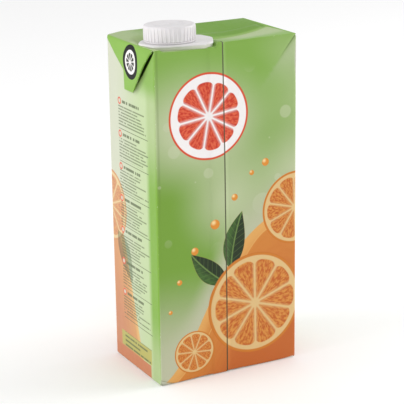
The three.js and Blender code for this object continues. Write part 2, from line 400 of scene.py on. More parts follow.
def board_point(x, y, z):
    reach = math.cos(math.pi / 2 * x / HALF_WIDTH)
    x += reach * (seam_x(z) - seam_x(HEIGHT / 2))
    grid = Vector((x, y, (z - MIDDLE_Z) * FLATTEN))
    core = Vector([clamp(g, -c, c) for g, c in zip(grid, CORE_HALF)])
    outward = (grid - core).normalized()
    point = core + outward * EDGE_ROUND
    point.z = point.z / FLATTEN + MIDDLE_Z
    swell = swell_at(point.z)
    bow_x = math.cos(math.pi / 2 * clamp(point.x / HALF_WIDTH, -1.0, 1.0))
    bow_y = math.cos(math.pi / 2 * clamp(point.y / HALF_DEPTH, -1.0, 1.0))
    relief = panel_relief(point.x, point.y, point.z, outward)
    fold_of_point.append((1.0 - max(abs(v) for v in outward)) / (1.0 - math.sqrt(0.5)))
    rub_and_light_of_point.append(rub_and_light_at(point.x, point.y, point.z, outward))
    point.x *= 1.0 + SIDE_SWELL / HALF_WIDTH * bow_y * swell
    point.y *= 1.0 + FRONT_SWELL / HALF_DEPTH * bow_x * swell
    point.z -= top_drop(point.x, point.y) * soft_step(point.z, HEIGHT - TOP_REACH, HEIGHT)
    return point + outward * relief


seam_middle = seam_x(HEIGHT / 2)
grid_x = lines_through(
    (-HALF_WIDTH, FINE_STEP), (EDGE_ROUND - HALF_WIDTH, CORNER_STEP), (CORNER_REACH - HALF_WIDTH, PANEL_STEP),
    (seam_middle - SEAM_LAP - SEAM_LAP_FADE, LAP_STEP), (seam_middle - SEAM_STEP, SEAM_STEP),
    (seam_middle + SEAM_STEP, PANEL_STEP), (HALF_WIDTH - CORNER_REACH, CORNER_STEP),
    (HALF_WIDTH - EDGE_ROUND, FINE_STEP), (HALF_WIDTH, FINE_STEP),
)
grid_y = lines_through(
    (-HALF_DEPTH, FINE_STEP), (EDGE_ROUND - HALF_DEPTH, SLIT_STEP), (SLIT_BACK, CORNER_STEP),
    (HALF_DEPTH - EDGE_ROUND, FINE_STEP), (HALF_DEPTH, FINE_STEP),
)
grid_z = lines_through(
    (BASE_RELIEF, RIM_STEP), (BASE_RELIEF + RIM_ROUND, FOOT_STEP), (CORNER_REACH, PANEL_STEP),
    (SLIT_FOOT, SLIT_STEP), (HEIGHT - RIM_ROUND, RIM_STEP), (HEIGHT, RIM_STEP),
)
brick = lattice_shell(grid_x, grid_y, grid_z, board_point)
print("brick", len(brick[0]), "points", len(brick[1]), "quads")

# %% [markdown]
# ## From points to a Blender object
# `from_pydata` turns lists into a mesh. Sizes are multiplied by 0.001 here, because Blender counts in
# metres, and the object itself stays at the origin, unturned and unscaled: its place is in its points. A
# named float attribute carries the fold value, so that a material can find the edges without painting by
# hand.

# %% Mesh helpers
FOLD = "fold"
RUB_AND_LIGHT = "rub"
MERGE_DISTANCE = 0.002 * MM


def new_object(name, mesh):
    piece = bpy.data.objects.new(name, mesh)
    bpy.context.scene.collection.objects.link(piece)
    return piece


def mesh_from(name, points, faces, folds=None):
    """Smooth mesh from points in millimetres, with its fold attribute."""
    mesh = bpy.data.meshes.new(name)
    mesh.from_pydata([Vector(p) * MM for p in points], [], faces)
    attribute = mesh.attributes.new(FOLD, "FLOAT", "POINT")
    attribute.data.foreach_set("value", folds or [0.0] * len(points))
    mesh.shade_smooth()
    mesh.validate()
    return mesh


def plain_mesh(piece):
    """Applies a piece's modifiers: its finished mesh replaces the one it was made from."""
    graph = bpy.context.evaluated_depsgraph_get()
    mesh = bpy.data.meshes.new_from_object(piece.evaluated_get(graph))
    mesh.name = piece.name
    piece.modifiers.clear()
    piece.data = mesh
    return mesh


def point_outwards(mesh):
    """Merges doubled points and turns every face outwards."""
    work = bmesh.new()
    work.from_mesh(mesh)
    bmesh.ops.remove_doubles(work, verts=work.verts, dist=MERGE_DISTANCE)
    bmesh.ops.recalc_face_normals(work, faces=work.faces)
    work.to_mesh(mesh)
    work.free()


carton = new_object("carton_board", mesh_from("carton_board", brick[0], brick[1], fold_of_point))
carton.data.polygons.foreach_set("material_index", brick[2])
# The paler places, partly rubbed print and partly painted light on tilted facets, go to the material as a
# point value.
carton.data.attributes.new(RUB_AND_LIGHT, "FLOAT", "POINT").data.foreach_set("value", rub_and_light_of_point)
print("carton_board", len(carton.data.polygons), "faces")

# %% [markdown]
# ## Ears and fins
# Where the tube is flattened and sealed, its ends become flat triangles: the ears. The top pair is folded
# down and tacked to the sides, the bottom pair is folded under. The seal itself is a fin, folded to the
# back. Each is a sheet: a grid of points for its middle surface, thickened by Solidify and softened by
# Bevel. Sculpting would give the same look, but a grid keeps the sheet's thickness true all over.

# %% Sheet helper
SHEET_THICKNESS = 2 * BOARD
SHEET_EDGE = 0.22
SHARP_ANGLE = math.radians(50.0)


def board_sheet(name, rows, folds):
    """Closed sheet of board round the middle surface that rows of points describe."""
    width = len(rows[0])
    points = [p for row in rows for p in row]
    faces = [
        [r * width + c, r * width + c + 1, (r + 1) * width + c + 1, (r + 1) * width + c]
        for r in range(len(rows) - 1) for c in range(width - 1)
    ]
    piece = new_object(name, mesh_from(name, points, faces, folds))
    thicken = piece.modifiers.new("thickness", "SOLIDIFY")
    thicken.thickness = SHEET_THICKNESS * MM
    thicken.offset = 0.0
    soften = piece.modifiers.new("edges", "BEVEL")
    soften.width = SHEET_EDGE * MM
    soften.segments = 2
    soften.limit_method = "ANGLE"
    soften.angle_limit = SHARP_ANGLE
    mesh = plain_mesh(piece)
    point_outwards(mesh)
    mesh.shade_smooth()
    print(name, len(mesh.polygons), "faces")
    return piece


print("sheets are", SHEET_THICKNESS, "mm thick")

# %% [markdown]
# The ear on each side hangs from the top edge. Behind its front slant the wall is pressed in, which leaves
# a dark slit, and the end of the fin shows at its tip, folded to the back. The rows start inside the top
# panel and run over the fold first, so that no gap shows at the edge.

# %% Side ears
FIN_WIDTH = 9.0
EAR_TIP_BACK = 6.2
EAR_START = 0.08
EAR_BEND = 0.6
EAR_BEND_Y = 7.4
EAR_CORNER_INSET = 1.4
EAR_LIFT = 0.9
EAR_LIFT_RISE = 0.58
EAR_SINK = 0.1
EAR_SETTLE = 0.4
EAR_BURY = 3.0
FOLD_RADIUS = 1.3
EAR_ROWS = 30
EAR_COLUMNS = 26
FOLD_ROWS = 6
FOLD_SHARE = (FOLD_RADIUS + SHEET_THICKNESS / 2) / EAR_DROP


def ear_limits(down):
    """Front and back limits of an ear at a share of its drop; the back slant bends down at the fin."""
    inset = EAR_CORNER_INSET * (1.0 - down)
    slant = HALF_DEPTH + (EAR_BEND_Y - HALF_DEPTH) * max(0.0, down - EAR_START) / (EAR_BEND - EAR_START)
    steep = EAR_BEND_Y + (EAR_TIP_BACK - EAR_BEND_Y) * (down - EAR_BEND) / (1.0 - EAR_BEND)
    return ear_slant(HEIGHT - EAR_DROP * down) + inset, max(slant, steep) - inset


def ear_profile(side, y, across):
    """Way of one strip of the ear, from under the top panel to its tip, as (distance out, height)."""
    edge_z = HEIGHT - top_drop(side * HALF_WIDTH, y)
    bend_z = edge_z - SHEET_THICKNESS / 2 - FOLD_RADIUS
    yield 0.0, HALF_WIDTH - EAR_BURY, edge_z - 2 * SHEET_THICKNESS
    for i in range(FOLD_ROWS):
        turn = math.pi / 2 * (1.0 - i / (FOLD_ROWS - 1))
        out = HALF_WIDTH - EAR_SINK - FOLD_RADIUS + FOLD_RADIUS * math.cos(turn)
        yield FOLD_SHARE, out, bend_z + FOLD_RADIUS * math.sin(turn)
    for i in range(1, EAR_ROWS + 1):
        down = FOLD_SHARE + (1.0 - FOLD_SHARE) * i / EAR_ROWS
        z = bend_z - (bend_z - (HEIGHT - EAR_DROP)) * i / EAR_ROWS
        out = side_wall(y, z) - EAR_SINK
        out += (EAR_SINK + SHEET_THICKNESS / 2) * soft_step(down, FOLD_SHARE, EAR_SETTLE)
        yield down, out + EAR_LIFT * (1.0 - across) ** 2 * math.sin(math.pi * down ** EAR_LIFT_RISE), z


def side_ear(side):
    strips = []
    for column in range(EAR_COLUMNS + 1):
        across = column / EAR_COLUMNS
        front, back = ear_limits(FOLD_SHARE)
        strip = []
        for down, out, z in ear_profile(side, front + (back - front) * across, across):
            front, back = ear_limits(down)
            strip.append((side * out, front + (back - front) * across, z))
        strips.append(strip)
    rows = list(zip(*strips))
    last = len(rows) - 1
    edges = (0, EAR_COLUMNS)
    folds = [float(c in edges or r == last) for r in range(last + 1) for c in range(EAR_COLUMNS + 1)]
    return board_sheet("left_ear" if side < 0 else "right_ear", rows, folds)


left_ear = side_ear(-1)
right_ear = side_ear(1)

# %% [markdown]
# The fin lies across the top in the hollow, with its free edge towards the back. Its root is sunk into the
# panel, where the real board turns up into the seal, and its ends dive under the ears' folds.

# %% Top fin
FIN_PATH = ((-1.1, -0.9), (-0.5, -0.4), (0.1, 0.0), (0.9, 0.16), (3.0, 0.18), (6.0, 0.18), (FIN_WIDTH, 0.2))
FIN_HALF_LENGTH = 43.0
FIN_DIVE = 4.0
FIN_DIVE_DEPTH = 1.1
FIN_COLUMNS = 70


def top_fin_rows():
    rows = []
    for y, lift in FIN_PATH:
        row = []
        for column in range(FIN_COLUMNS + 1):
            x = FIN_HALF_LENGTH * (2.0 * column / FIN_COLUMNS - 1.0)
            dive = FIN_DIVE_DEPTH * soft_step(abs(x), FIN_HALF_LENGTH - FIN_DIVE, FIN_HALF_LENGTH)
            row.append((x, y, HEIGHT - top_drop(x, y) + lift - dive))
        rows.append(row)
    return rows


top_fin = board_sheet("top_fin", top_fin_rows(), [0.0] * (len(FIN_PATH) * (FIN_COLUMNS + 1)))

# %% [markdown]
# Under the pack the second pair of ears points to the middle and lies flat, over a second fin.
# These faces touch the table, so they are made like the others and simply kept level.

# %% Base folds
BASE_EAR_ROOT_X = HALF_WIDTH - 1.5
BASE_EAR_TIP_X = HALF_WIDTH - HALF_DEPTH
BASE_FIN_HALF_LENGTH = 26.0
BASE_FIN_RAISE = 0.1
BASE_FIN_ROOT = 0.6
BASE_FIN_STEPS = 40
BASE_FIN_ROWS = 6


def base_ear(side):
    rows = []
    for r in range(EAR_ROWS + 1):
        down = r / EAR_ROWS
        x = BASE_EAR_ROOT_X + (BASE_EAR_TIP_X - BASE_EAR_ROOT_X) * down
        front = (EAR_CORNER_INSET - HALF_DEPTH) * (1.0 - down)
        back = max(-front, FIN_WIDTH)
        steps = [front + (back - front) * c / EAR_COLUMNS for c in range(EAR_COLUMNS + 1)]
        rows.append([(side * x, y, SHEET_THICKNESS / 2) for y in steps])
    folds = [1.0 if c in (0, EAR_COLUMNS) else 0.0 for _ in rows for c in range(EAR_COLUMNS + 1)]
    return board_sheet("base_ear_left" if side < 0 else "base_ear_right", rows, folds)


def base_fin():
    width = FIN_WIDTH + BASE_FIN_ROOT
    xs = [BASE_FIN_HALF_LENGTH * (2.0 * i / BASE_FIN_STEPS - 1.0) for i in range(BASE_FIN_STEPS + 1)]
    ys = [width * r / BASE_FIN_ROWS - BASE_FIN_ROOT for r in range(BASE_FIN_ROWS + 1)]
    level = SHEET_THICKNESS / 2 + BASE_FIN_RAISE
    return board_sheet("base_fin", [[(x, y, level) for x in xs] for y in ys], [0.0] * (len(xs) * len(ys)))


base_folds = [base_ear(-1), base_ear(1), base_fin()]

# %% [markdown]
# ## The spout base
# This is an injection-moulded plate with six sides and soft corners, glued on slightly turned. A thin skirt
# below its rim is pressed into the board, and over the front edge the skirt shows.
# A Bevel modifier could round its corners, but a curve drawn between two points of its sides keeps the same
# number of points at every inset, so that outlines can be joined to each other.

# %% Outline of the spout base
PLATE_CORNER = 0.22
CORNER_POINTS = 9


def inset_corners(inset):
    """The six corners of the plate's outline, moved in by an inset."""
    moved = []
    for i, corner in enumerate(plate_corners):
        before = (corner - plate_corners[i - 1]).normalized()
        after = (plate_corners[(i + 1) % len(plate_corners)] - corner).normalized()
        spread = 1.0 + before.dot(after)
        inward = Vector((-before.y - after.y, before.x + after.x))
        moved.append(corner + inward * (inset / spread))
    return moved


def plate_outline(inset):
    """Closed outline with each corner drawn as a curve between points on its two sides."""
    corners = inset_corners(inset)
    outline = []
    for i, corner in enumerate(corners):
        entry = corner.lerp(corners[i - 1], PLATE_CORNER)
        leave = corner.lerp(corners[(i + 1) % len(corners)], PLATE_CORNER)
        for step in range(CORNER_POINTS):
            share = step / (CORNER_POINTS - 1)
            outline.append(entry.lerp(corner, share).lerp(corner.lerp(leave, share), share))
    return outline


print("outline of", len(plate_outline(0.0)), "points")

# %% [markdown]
# The plate is made of outlines at a few heights, each a little inset, joined like the floors of a tower.
# Extruding one outline and bevelling it would round every edge alike; here rim and skirt differ.
# The collar below the cap is a second, round tower. The closure is modelled level and leaned back onto its
# seat at the end, which keeps its numbers simple.

# %% Shell of the spout base
GLUE_GAP = 0.3
PLATE_BOTTOM = HEIGHT - SEAT_DROP + GLUE_GAP
PLATE_LEVELS = (
    (1.2, -2.6, 1.0), (0.6, -2.5, 1.0), (0.42, -2.2, 1.0), (0.4, -0.1, 0.8), (0.3, 0.3, 0.4),
    (0.06, 0.5, 0.0), (0.0, 0.7, 0.0), (0.0, 1.3, 0.0), (0.08, 1.52, 0.0), (0.3, 1.63, 0.0), (0.7, 1.65, 0.0),
)
COLLAR_RADIUS = 13.4
COLLAR_LEVELS = ((0.5, 1.1), (0.5, 1.67), (0.12, 1.85), (0.0, 2.05))
ROUND_SIDES = 160
CAP_CENTRE = Vector((-26.2, -12.5))
HINGE = Vector((0.0, PLATE_CENTRE.y, PLATE_BOTTOM)) * MM
LEAN_BACK = Matrix.Translation(HINGE) @ Matrix.Rotation(-CLOSURE_LEAN, 4, "X") @ Matrix.Translation(-HINGE)


def tower(rings):
    """Closed shell from rings of points, bottom to top, with flat ends."""
    size = len(rings[0])
    points = [p for ring in rings for p in ring]
    faces = [list(reversed(range(size)))]
    for level in range(len(rings) - 1):
        for i in range(size):
            j = (i + 1) % size
            low = level * size
            faces.append([low + i, low + j, low + size + j, low + size + i])
    faces.append([(len(rings) - 1) * size + i for i in range(size)])
    return points, faces


def joined(parts):
    """Several (points, faces) shells as one."""
    points = []
    faces = []
    for some_points, some_faces in parts:
        shift = len(points)
        points += some_points
        faces += [[index + shift for index in face] for face in some_faces]
    return points, faces


def ring_at(radius, z):
    """Points round the cap's axis."""
    turns = [2.0 * math.pi * i / ROUND_SIDES for i in range(ROUND_SIDES)]
    return [(CAP_CENTRE.x + radius * math.cos(t), CAP_CENTRE.y + radius * math.sin(t), z) for t in turns]


plate_rings = []
for inset, rise, _ in PLATE_LEVELS:
    plate_rings.append([(p.x, p.y, PLATE_BOTTOM + rise) for p in plate_outline(inset)])
collar_rings = [ring_at(COLLAR_RADIUS + flare, PLATE_BOTTOM + rise) for flare, rise in COLLAR_LEVELS]
spout_points, spout_faces = joined([tower(plate_rings), tower(collar_rings)])
# The third value of each plate level is its share of the skirt's painted tint: board showing through, painted
# shade and a painted green reflection.
skirt_green_and_shade = [skirt for _, _, skirt in PLATE_LEVELS for _ in plate_rings[0]]
skirt_green_and_shade += [0.0] * (len(spout_points) - len(skirt_green_and_shade))
spout = new_object("spout_plate", mesh_from("spout_plate", spout_points, spout_faces, skirt_green_and_shade))
spout.data.set_sharp_from_angle(angle=SHARP_ANGLE)
spout.data.transform(LEAN_BACK)
print("spout_plate", len(spout_faces), "faces")

# %% [markdown]
# ## The screw cap
# A cap is a turned shape, so its profile is drawn once, as radius and height, and carried round the axis.
# The profile has the tear band at the foot, the groove where it will break off, the grip wall, a soft
# shoulder, a shallow dish on top and the small mark where the plastic was let into the mould.

# %% Cap body
CAP_FOOT = PLATE_BOTTOM + 1.95
CAP_TOP = PLATE_BOTTOM + 11.3
CAP_RADIUS = 14.6
RIB_DEPTH = 0.45
CAP_SHOULDER = 1.05
SHOULDER_FLARE = 0.2
SHOULDER_POINTS = 8
DISH_DEPTH = 0.27
FOOT_PROFILE = (
    (-1.6, 0.0), (-0.1, 0.0), (0.05, 0.12), (0.08, 0.4), (0.05, 0.68), (-0.1, 0.76), (-0.35, 0.8),
    (-0.35, 0.98), (-0.05, 1.02), (0.0, 1.1),
)
DISH_PROFILE = (
    (12.9, 0.0), (12.65, 0.06), (12.4, 0.2), (12.0, 0.25), (4.0, DISH_DEPTH), (1.3, DISH_DEPTH),
    (1.1, 0.42), (0.4, 0.45),
)
cap_height = CAP_TOP - CAP_FOOT
wall_radius = CAP_RADIUS - RIB_DEPTH


def cap_profile():
    """Radius and height of the cap from its foot to the middle of its top."""
    foot = [(wall_radius + out, rise) for out, rise in FOOT_PROFILE]
    shoulder = []
    for i in range(SHOULDER_POINTS + 1):
        turn = math.pi / 2 * i / SHOULDER_POINTS
        radius = wall_radius + SHOULDER_FLARE - CAP_SHOULDER * (1.0 - math.cos(turn))
        shoulder.append((radius, cap_height - CAP_SHOULDER * (1.0 - math.sin(turn))))
    dish = [(radius, cap_height - depth) for radius, depth in DISH_PROFILE]
    return foot + shoulder + dish


cap_rings = [ring_at(radius, CAP_FOOT + rise) for radius, rise in cap_profile()]
cap_points, cap_faces = tower(cap_rings)
print("cap profile", len(cap_rings), "rings")

# %% [markdown]
# Two curved arrows stand a little proud of the dish and show which way the cap turns to open.
# Each is a flat strip along an arc that swells into a head, given a top and sides.

# %% Arrows on the cap
ARROW_RADIUS = 8.3
ARROW_HALF_WIDTH = 0.55
ARROW_HEAD_HALF_WIDTH = 1.35
ARROW_SPAN = math.radians(62.0)
ARROW_HEAD_SHARE = 0.8
ARROW_STEPS = 20
ARROW_STARTS = (math.radians(-35.0), math.radians(145.0))
ARROW_PROUD = 0.14
ARROW_SINK = 0.2
ARROW_TIP_HALF_WIDTH = 0.02


def arrow(start):
    """Closed shell of one raised arrow."""
    dish_z = CAP_TOP - DISH_DEPTH
    inner = []
    outer = []
    for i in range(ARROW_STEPS + 1):
        share = i / ARROW_STEPS
        turn = start + ARROW_SPAN * share
        half = ARROW_HALF_WIDTH
        if share >= ARROW_HEAD_SHARE:
            half = ARROW_HEAD_HALF_WIDTH * (1.0 - share) / (1.0 - ARROW_HEAD_SHARE)
            half += ARROW_TIP_HALF_WIDTH
        inner.append((ARROW_RADIUS - half, turn))
        outer.append((ARROW_RADIUS + half, turn))
    rim = outer + inner[::-1]
    rings = []
    for z in (dish_z - ARROW_SINK, dish_z + ARROW_PROUD):
        rings.append([(CAP_CENTRE.x + r * math.cos(t), CAP_CENTRE.y + r * math.sin(t), z) for r, t in rim])
    return tower(rings)


def strip_shell(shell):
    """Replaces the two end faces of an arrow by quads across the strip."""
    points, faces = shell
    size = len(points) // 2
    half = size // 2
    across = [[i, i + 1, size - 2 - i, size - 1 - i] for i in range(half - 1)]
    lower = [list(reversed(quad)) for quad in across]
    upper = [[index + size for index in quad] for quad in across]
    return points, faces[1:-1] + lower + upper


arrows = [strip_shell(arrow(start)) for start in ARROW_STARTS]
cap_points, cap_faces = joined([(cap_points, cap_faces)] + arrows)
cap = new_object("screw_cap_shell", mesh_from("screw_cap_shell", cap_points, cap_faces))
point_outwards(cap.data)
cap.data.set_sharp_from_angle(angle=SHARP_ANGLE)
cap.data.transform(LEAN_BACK)
print("screw_cap_shell", len(cap.data.polygons), "faces")

# %% [markdown]
# ## A small kit for nodes
# Both the ribs of the cap and the print are worked out by nodes, and linking nodes one by one makes long
# code. This kit adds a node, feeds each input with a socket or a plain value, and gives back the output.
# Groups built with it have named inputs and outputs, as any group made by hand has.

# %% Node kit
TO_MM = (1.0 / MM,) * 3


class Nodes:
    """Adds nodes to a tree."""

    def __init__(self, tree):
        self.tree = tree

    def add(self, kind, inputs=None, **settings):
        node = self.tree.nodes.new(kind)
        for name, value in settings.items():
            setattr(node, name, value)
        for key, value in (inputs or {}).items():
            if isinstance(value, bpy.types.NodeSocket):
                self.tree.links.new(value, node.inputs[key])
            else:
                node.inputs[key].default_value = value
        return node

    def math(self, operation, *values):
        return self.add("ShaderNodeMath", dict(enumerate(values)), operation=operation).outputs[0]

    def plus(self, first, second):
        return self.math("ADD", first, second)

    def minus(self, first, second):
        return self.math("SUBTRACT", first, second)

    def over(self, first, second):
        return self.math("DIVIDE", first, second)

    def apart(self, first, second):
        """How far two values lie apart."""
        return self.math("ABSOLUTE", self.minus(first, second))

    def product(self, first, *others):
        for other in others:
            first = self.math("MULTIPLY", first, other)
        return first

    def fade(self, value, start, end, share=1.0):
        """0 before start and the share after end; start may be the larger of the two."""
        inputs = {"Value": value, "From Min": start, "From Max": end, "To Max": share}
        return self.add("ShaderNodeMapRange", inputs, interpolation_type="SMOOTHSTEP").outputs[0]

    def mix(self, mask, under, over):
        inputs = {0: mask, 6: under, 7: over}
        return self.add("ShaderNodeMix", inputs, data_type="RGBA").outputs[2]

    def vector(self, operation, first, second):
        return self.add("ShaderNodeVectorMath", {0: first, 1: second}, operation=operation).outputs[0]

    def length(self, vector):
        return self.add("ShaderNodeVectorMath", {0: vector}, operation="LENGTH").outputs["Value"]

    def join(self, x, y, z=0.0):
        return self.add("ShaderNodeCombineXYZ", {"X": x, "Y": y, "Z": z}).outputs[0]

    def split(self, vector):
        return self.add("ShaderNodeSeparateXYZ", {0: vector}).outputs

    def noise(self, vector, scale, detail):
        inputs = {"Vector": vector, "Scale": scale, "Detail": detail}
        return self.add("ShaderNodeTexNoise", inputs).outputs[0]

    def group(self, tree, **inputs):
        named = {label.replace("_", " "): value for label, value in inputs.items()}
        return self.add("ShaderNodeGroup", named, node_tree=tree).outputs

    def place(self):
        """Place of each point in millimetres."""
        where = self.add("ShaderNodeTexCoord").outputs["Object"]
        return self.vector("MULTIPLY", where, TO_MM)

    def attribute(self, name):
        return self.add("ShaderNodeAttribute", attribute_name=name).outputs["Fac"]


print("places are multiplied by", TO_MM[0])

# %% [markdown]
# A group has named sockets on both sides, so that it can be used many times, each time with other values.
# They could be added by hand in the editor. Here a function makes an empty group from two lists of names.

# %% New groups
SOCKETS = {
    "value": "NodeSocketFloat", "place": "NodeSocketVector", "colour": "NodeSocketColor",
    "count": "NodeSocketInt", "material": "NodeSocketMaterial", "geometry": "NodeSocketGeometry",
}


def new_group(name, inputs, outputs, tree_kind="ShaderNodeTree"):
    """Empty group; inputs and outputs give each socket's kind."""
    tree = bpy.data.node_groups.new(name, tree_kind)
    for label, kind in inputs.items():
        tree.interface.new_socket(label, in_out="INPUT", socket_type=SOCKETS[kind])
    for label, kind in outputs.items():
        tree.interface.new_socket(label, in_out="OUTPUT", socket_type=SOCKETS[kind])
    nodes = Nodes(tree)
    given = nodes.add("NodeGroupInput").outputs
    result = nodes.add("NodeGroupOutput").inputs

    def give(label, socket):
        tree.links.new(socket, result[label])

    return tree, nodes, given, give


print("kinds of socket", sorted(SOCKETS))

# %% [markdown]
# ## Ribs and bridges by Geometry Nodes
# The grip has forty ribs, and thin bridges hold the tear band until the cap is first turned. Both are bars
# round a ring, so one Geometry Nodes tree makes both: a curve swept into a bar, set on the points of a
# circle and turned to face outwards. Its named inputs give the count and the sizes.

# %% A tree for bars round a ring
SPINE_STEPS = 12
SECTION_SIDES = 10
BAR_INPUTS = {
    "Count": "count", "Ring Radius": "value", "Bar Radius": "value", "Bar Height": "value",
    "Bar Lean": "value", "Foot Height": "value", "Centre": "place", "Material": "material",
}


def ring_of_bars_tree():
    tree, n, given, give = new_group("Ring of bars", BAR_INPUTS, {"Geometry": "geometry"}, "GeometryNodeTree")
    ring = n.add("GeometryNodeMeshCircle", {"Vertices": given["Count"], "Radius": given["Ring Radius"]})
    spine = n.add("GeometryNodeCurveQuadraticBezier", {
        "Resolution": SPINE_STEPS,
        "Start": (0.0, 0.0, 0.0),
        "Middle": n.join(0.0, 0.0, given["Bar Height"]),
        "End": n.join(n.product(given["Bar Lean"], -1.0), 0.0, given["Bar Height"]),
    })
    section = n.add("GeometryNodeCurvePrimitiveCircle", {
        "Resolution": SECTION_SIDES, "Radius": given["Bar Radius"],
    })
    bar = n.add("GeometryNodeCurveToMesh", {
        "Curve": spine.outputs["Curve"], "Profile Curve": section.outputs["Curve"], "Fill Caps": True,
    })
    number = n.add("GeometryNodeInputIndex").outputs[0]
    turn = n.product(number, n.over(2.0 * math.pi, given["Count"]))
    facing = n.add("FunctionNodeEulerToRotation", {0: n.join(0.0, 0.0, turn)})
    copies = n.add("GeometryNodeInstanceOnPoints", {
        "Points": ring.outputs["Mesh"], "Instance": bar.outputs["Mesh"], "Rotation": facing.outputs[0],
    })
    real = n.add("GeometryNodeRealizeInstances", {"Geometry": copies.outputs["Instances"]})
    foot = n.vector("ADD", given["Centre"], n.join(0.0, 0.0, given["Foot Height"]))
    moved = n.add("GeometryNodeTransform", {"Geometry": real.outputs["Geometry"], "Translation": foot})
    soft = n.add("GeometryNodeSetShadeSmooth", {"Geometry": moved.outputs["Geometry"]})
    finish = n.add("GeometryNodeSetMaterial", {
        "Geometry": soft.outputs["Geometry"], "Material": given["Material"],
    })
    give("Geometry", finish.outputs["Geometry"])
    return tree


bars_tree = ring_of_bars_tree()
print("tree", bars_tree.name, len(bars_tree.nodes), "nodes")

# %% [markdown]
# A modifier's inputs are set by each socket's identifier, because two sockets may share a name.
# The evaluated object then becomes a plain mesh, so that nothing in the finished piece depends on the tree.

# %% Ribs and bridges
RIB_COUNT = 40
RIB_RADIUS = 0.45
RIB_FOOT = 1.02
RIB_TOP_GAP = 0.8
RIB_LEAN = 0.18
BRIDGE_COUNT = 24
BRIDGE_RADIUS = 0.22
BRIDGE_INSET = 0.2
BRIDGE_HEIGHT = 0.36
BRIDGE_FOOT = 0.7


def ring_of_bars(name, values):
    """A piece made by the bars tree, with lengths in metres."""
    piece = new_object(name, bpy.data.meshes.new(name))
    modifier = piece.modifiers.new("bars", "NODES")
    modifier.node_group = bars_tree
    for item in bars_tree.interface.items_tree:
        if item.in_out == "INPUT" and item.name in values:
            modifier[item.identifier] = values[item.name]
    mesh = plain_mesh(piece)
    point_outwards(mesh)
    mesh.set_sharp_from_angle(angle=SHARP_ANGLE)
    mesh.transform(LEAN_BACK)
    print(name, len(mesh.polygons), "faces")
    return piece


cap_foot = Vector((CAP_CENTRE.x, CAP_CENTRE.y, CAP_FOOT)) * MM
cap_plastic = bpy.data.materials.new("cap_plastic")
ribs = ring_of_bars("grip_ribs", {
    "Count": RIB_COUNT,
    "Ring Radius": (CAP_RADIUS - RIB_RADIUS) * MM,
    "Bar Radius": RIB_RADIUS * MM,
    "Bar Height": (cap_height - RIB_FOOT - RIB_TOP_GAP) * MM,
    "Bar Lean": RIB_LEAN * MM,
    "Foot Height": RIB_FOOT * MM,
    "Centre": cap_foot,
    "Material": cap_plastic,
})
bridges = ring_of_bars("tear_band_bridges", {
    "Count": BRIDGE_COUNT,
    "Ring Radius": (wall_radius - BRIDGE_INSET) * MM,
    "Bar Radius": BRIDGE_RADIUS * MM,
    "Bar Height": BRIDGE_HEIGHT * MM,
    "Bar Lean": 0.0,
    "Foot Height": BRIDGE_FOOT * MM,
    "Centre": cap_foot,
    "Material": cap_plastic,
})

# %% [markdown]
# ## Inks
# The print is worked out by nodes from each point's place in millimetres, with no pictures.
# Its inks are written as hex codes, which are turned into the linear values that Blender counts in.

# %% Inks
def ink(code):
    """Linear colour of a hex code, as a printer's swatch book gives it."""
    parts = [int(code[i:i + 2], 16) / 255 for i in (1, 3, 5)]
    linear = [p / 12.92 if p <= 0.04045 else ((p + 0.055) / 1.055) ** 2.4 for p in parts]
    return (*linear, 1.0)


FIELD_DEEP = ink("#729B35")
print("deep green", [round(v, 3) for v in FIELD_DEEP])

# %% [markdown]
# ## Print motifs
# The pack carries a design of its own: a green field with a pale glow, slices of citrus, leaves and drops
# of juice. Each motif is a node group that takes a place on the panel and a few sizes, and gives a colour
# and a mask, so that it can be set down many times. A slice is drawn from its radius and angle, the way a
# compass would.

# %% Citrus slice
MOTIF_OUTPUTS = {"Colour": "colour", "Mask": "value"}
SLICE_INPUTS = {
    "Place": "place", "Centre": "place", "Radius": "value", "Turn": "value",
    "Flesh Reach": "value", "Rind Start": "value",
    "Flesh Dark": "colour", "Flesh Light": "colour", "Pith": "colour", "Rind": "colour",
}
SEGMENTS = 10
SEGMENT_CURVE = 1.6
SKIN = (0.008, 0.03)
FLESH_EDGE = (0.0, 0.025)
HEART = (0.07, 0.13)
SACS_ROUND = 7.0
SACS_OUT = 4.5
SACS_SCALE = 2.2
SACS_RANGE = (0.36, 0.66)
PALE_SKIN = (0.08, 0.02, 0.35)
RIND_EDGE = (-0.01, 0.01)
RIM_SHADE = (0.965, 1.0, 0.5)
SLICE_EDGE = (1.0, 0.985)


def fruit(flesh_dark, flesh_light, pith, rind, flesh_reach, rind_start):
    """Inks and shares of the radius that make a slice one kind of fruit."""
    return {
        "Flesh_Dark": ink(flesh_dark), "Flesh_Light": ink(flesh_light), "Pith": ink(pith),
        "Rind": ink(rind), "Flesh_Reach": flesh_reach, "Rind_Start": rind_start,
    }


ORANGE = fruit("#B95C1F", "#D48F3F", "#D9B87F", "#C77826", 0.865, 0.935)
BLOOD_ORANGE = fruit("#C2321F", "#DE6440", "#EFEBEA", "#D5502F", 0.79, 0.945)
DARK_WHEEL = fruit("#1B2018", "#2C3427", "#E9E6E4", "#0E100D", 0.54, 0.7)


def from_centre(n, given):
    """Place against a motif's centre and the distance from it, in parts of the motif's radius."""
    x, y, _ = n.split(n.vector("SUBTRACT", given["Place"], given["Centre"]))
    x = n.over(x, given["Radius"])
    y = n.over(y, given["Radius"])
    return x, y, n.length(n.join(x, y))


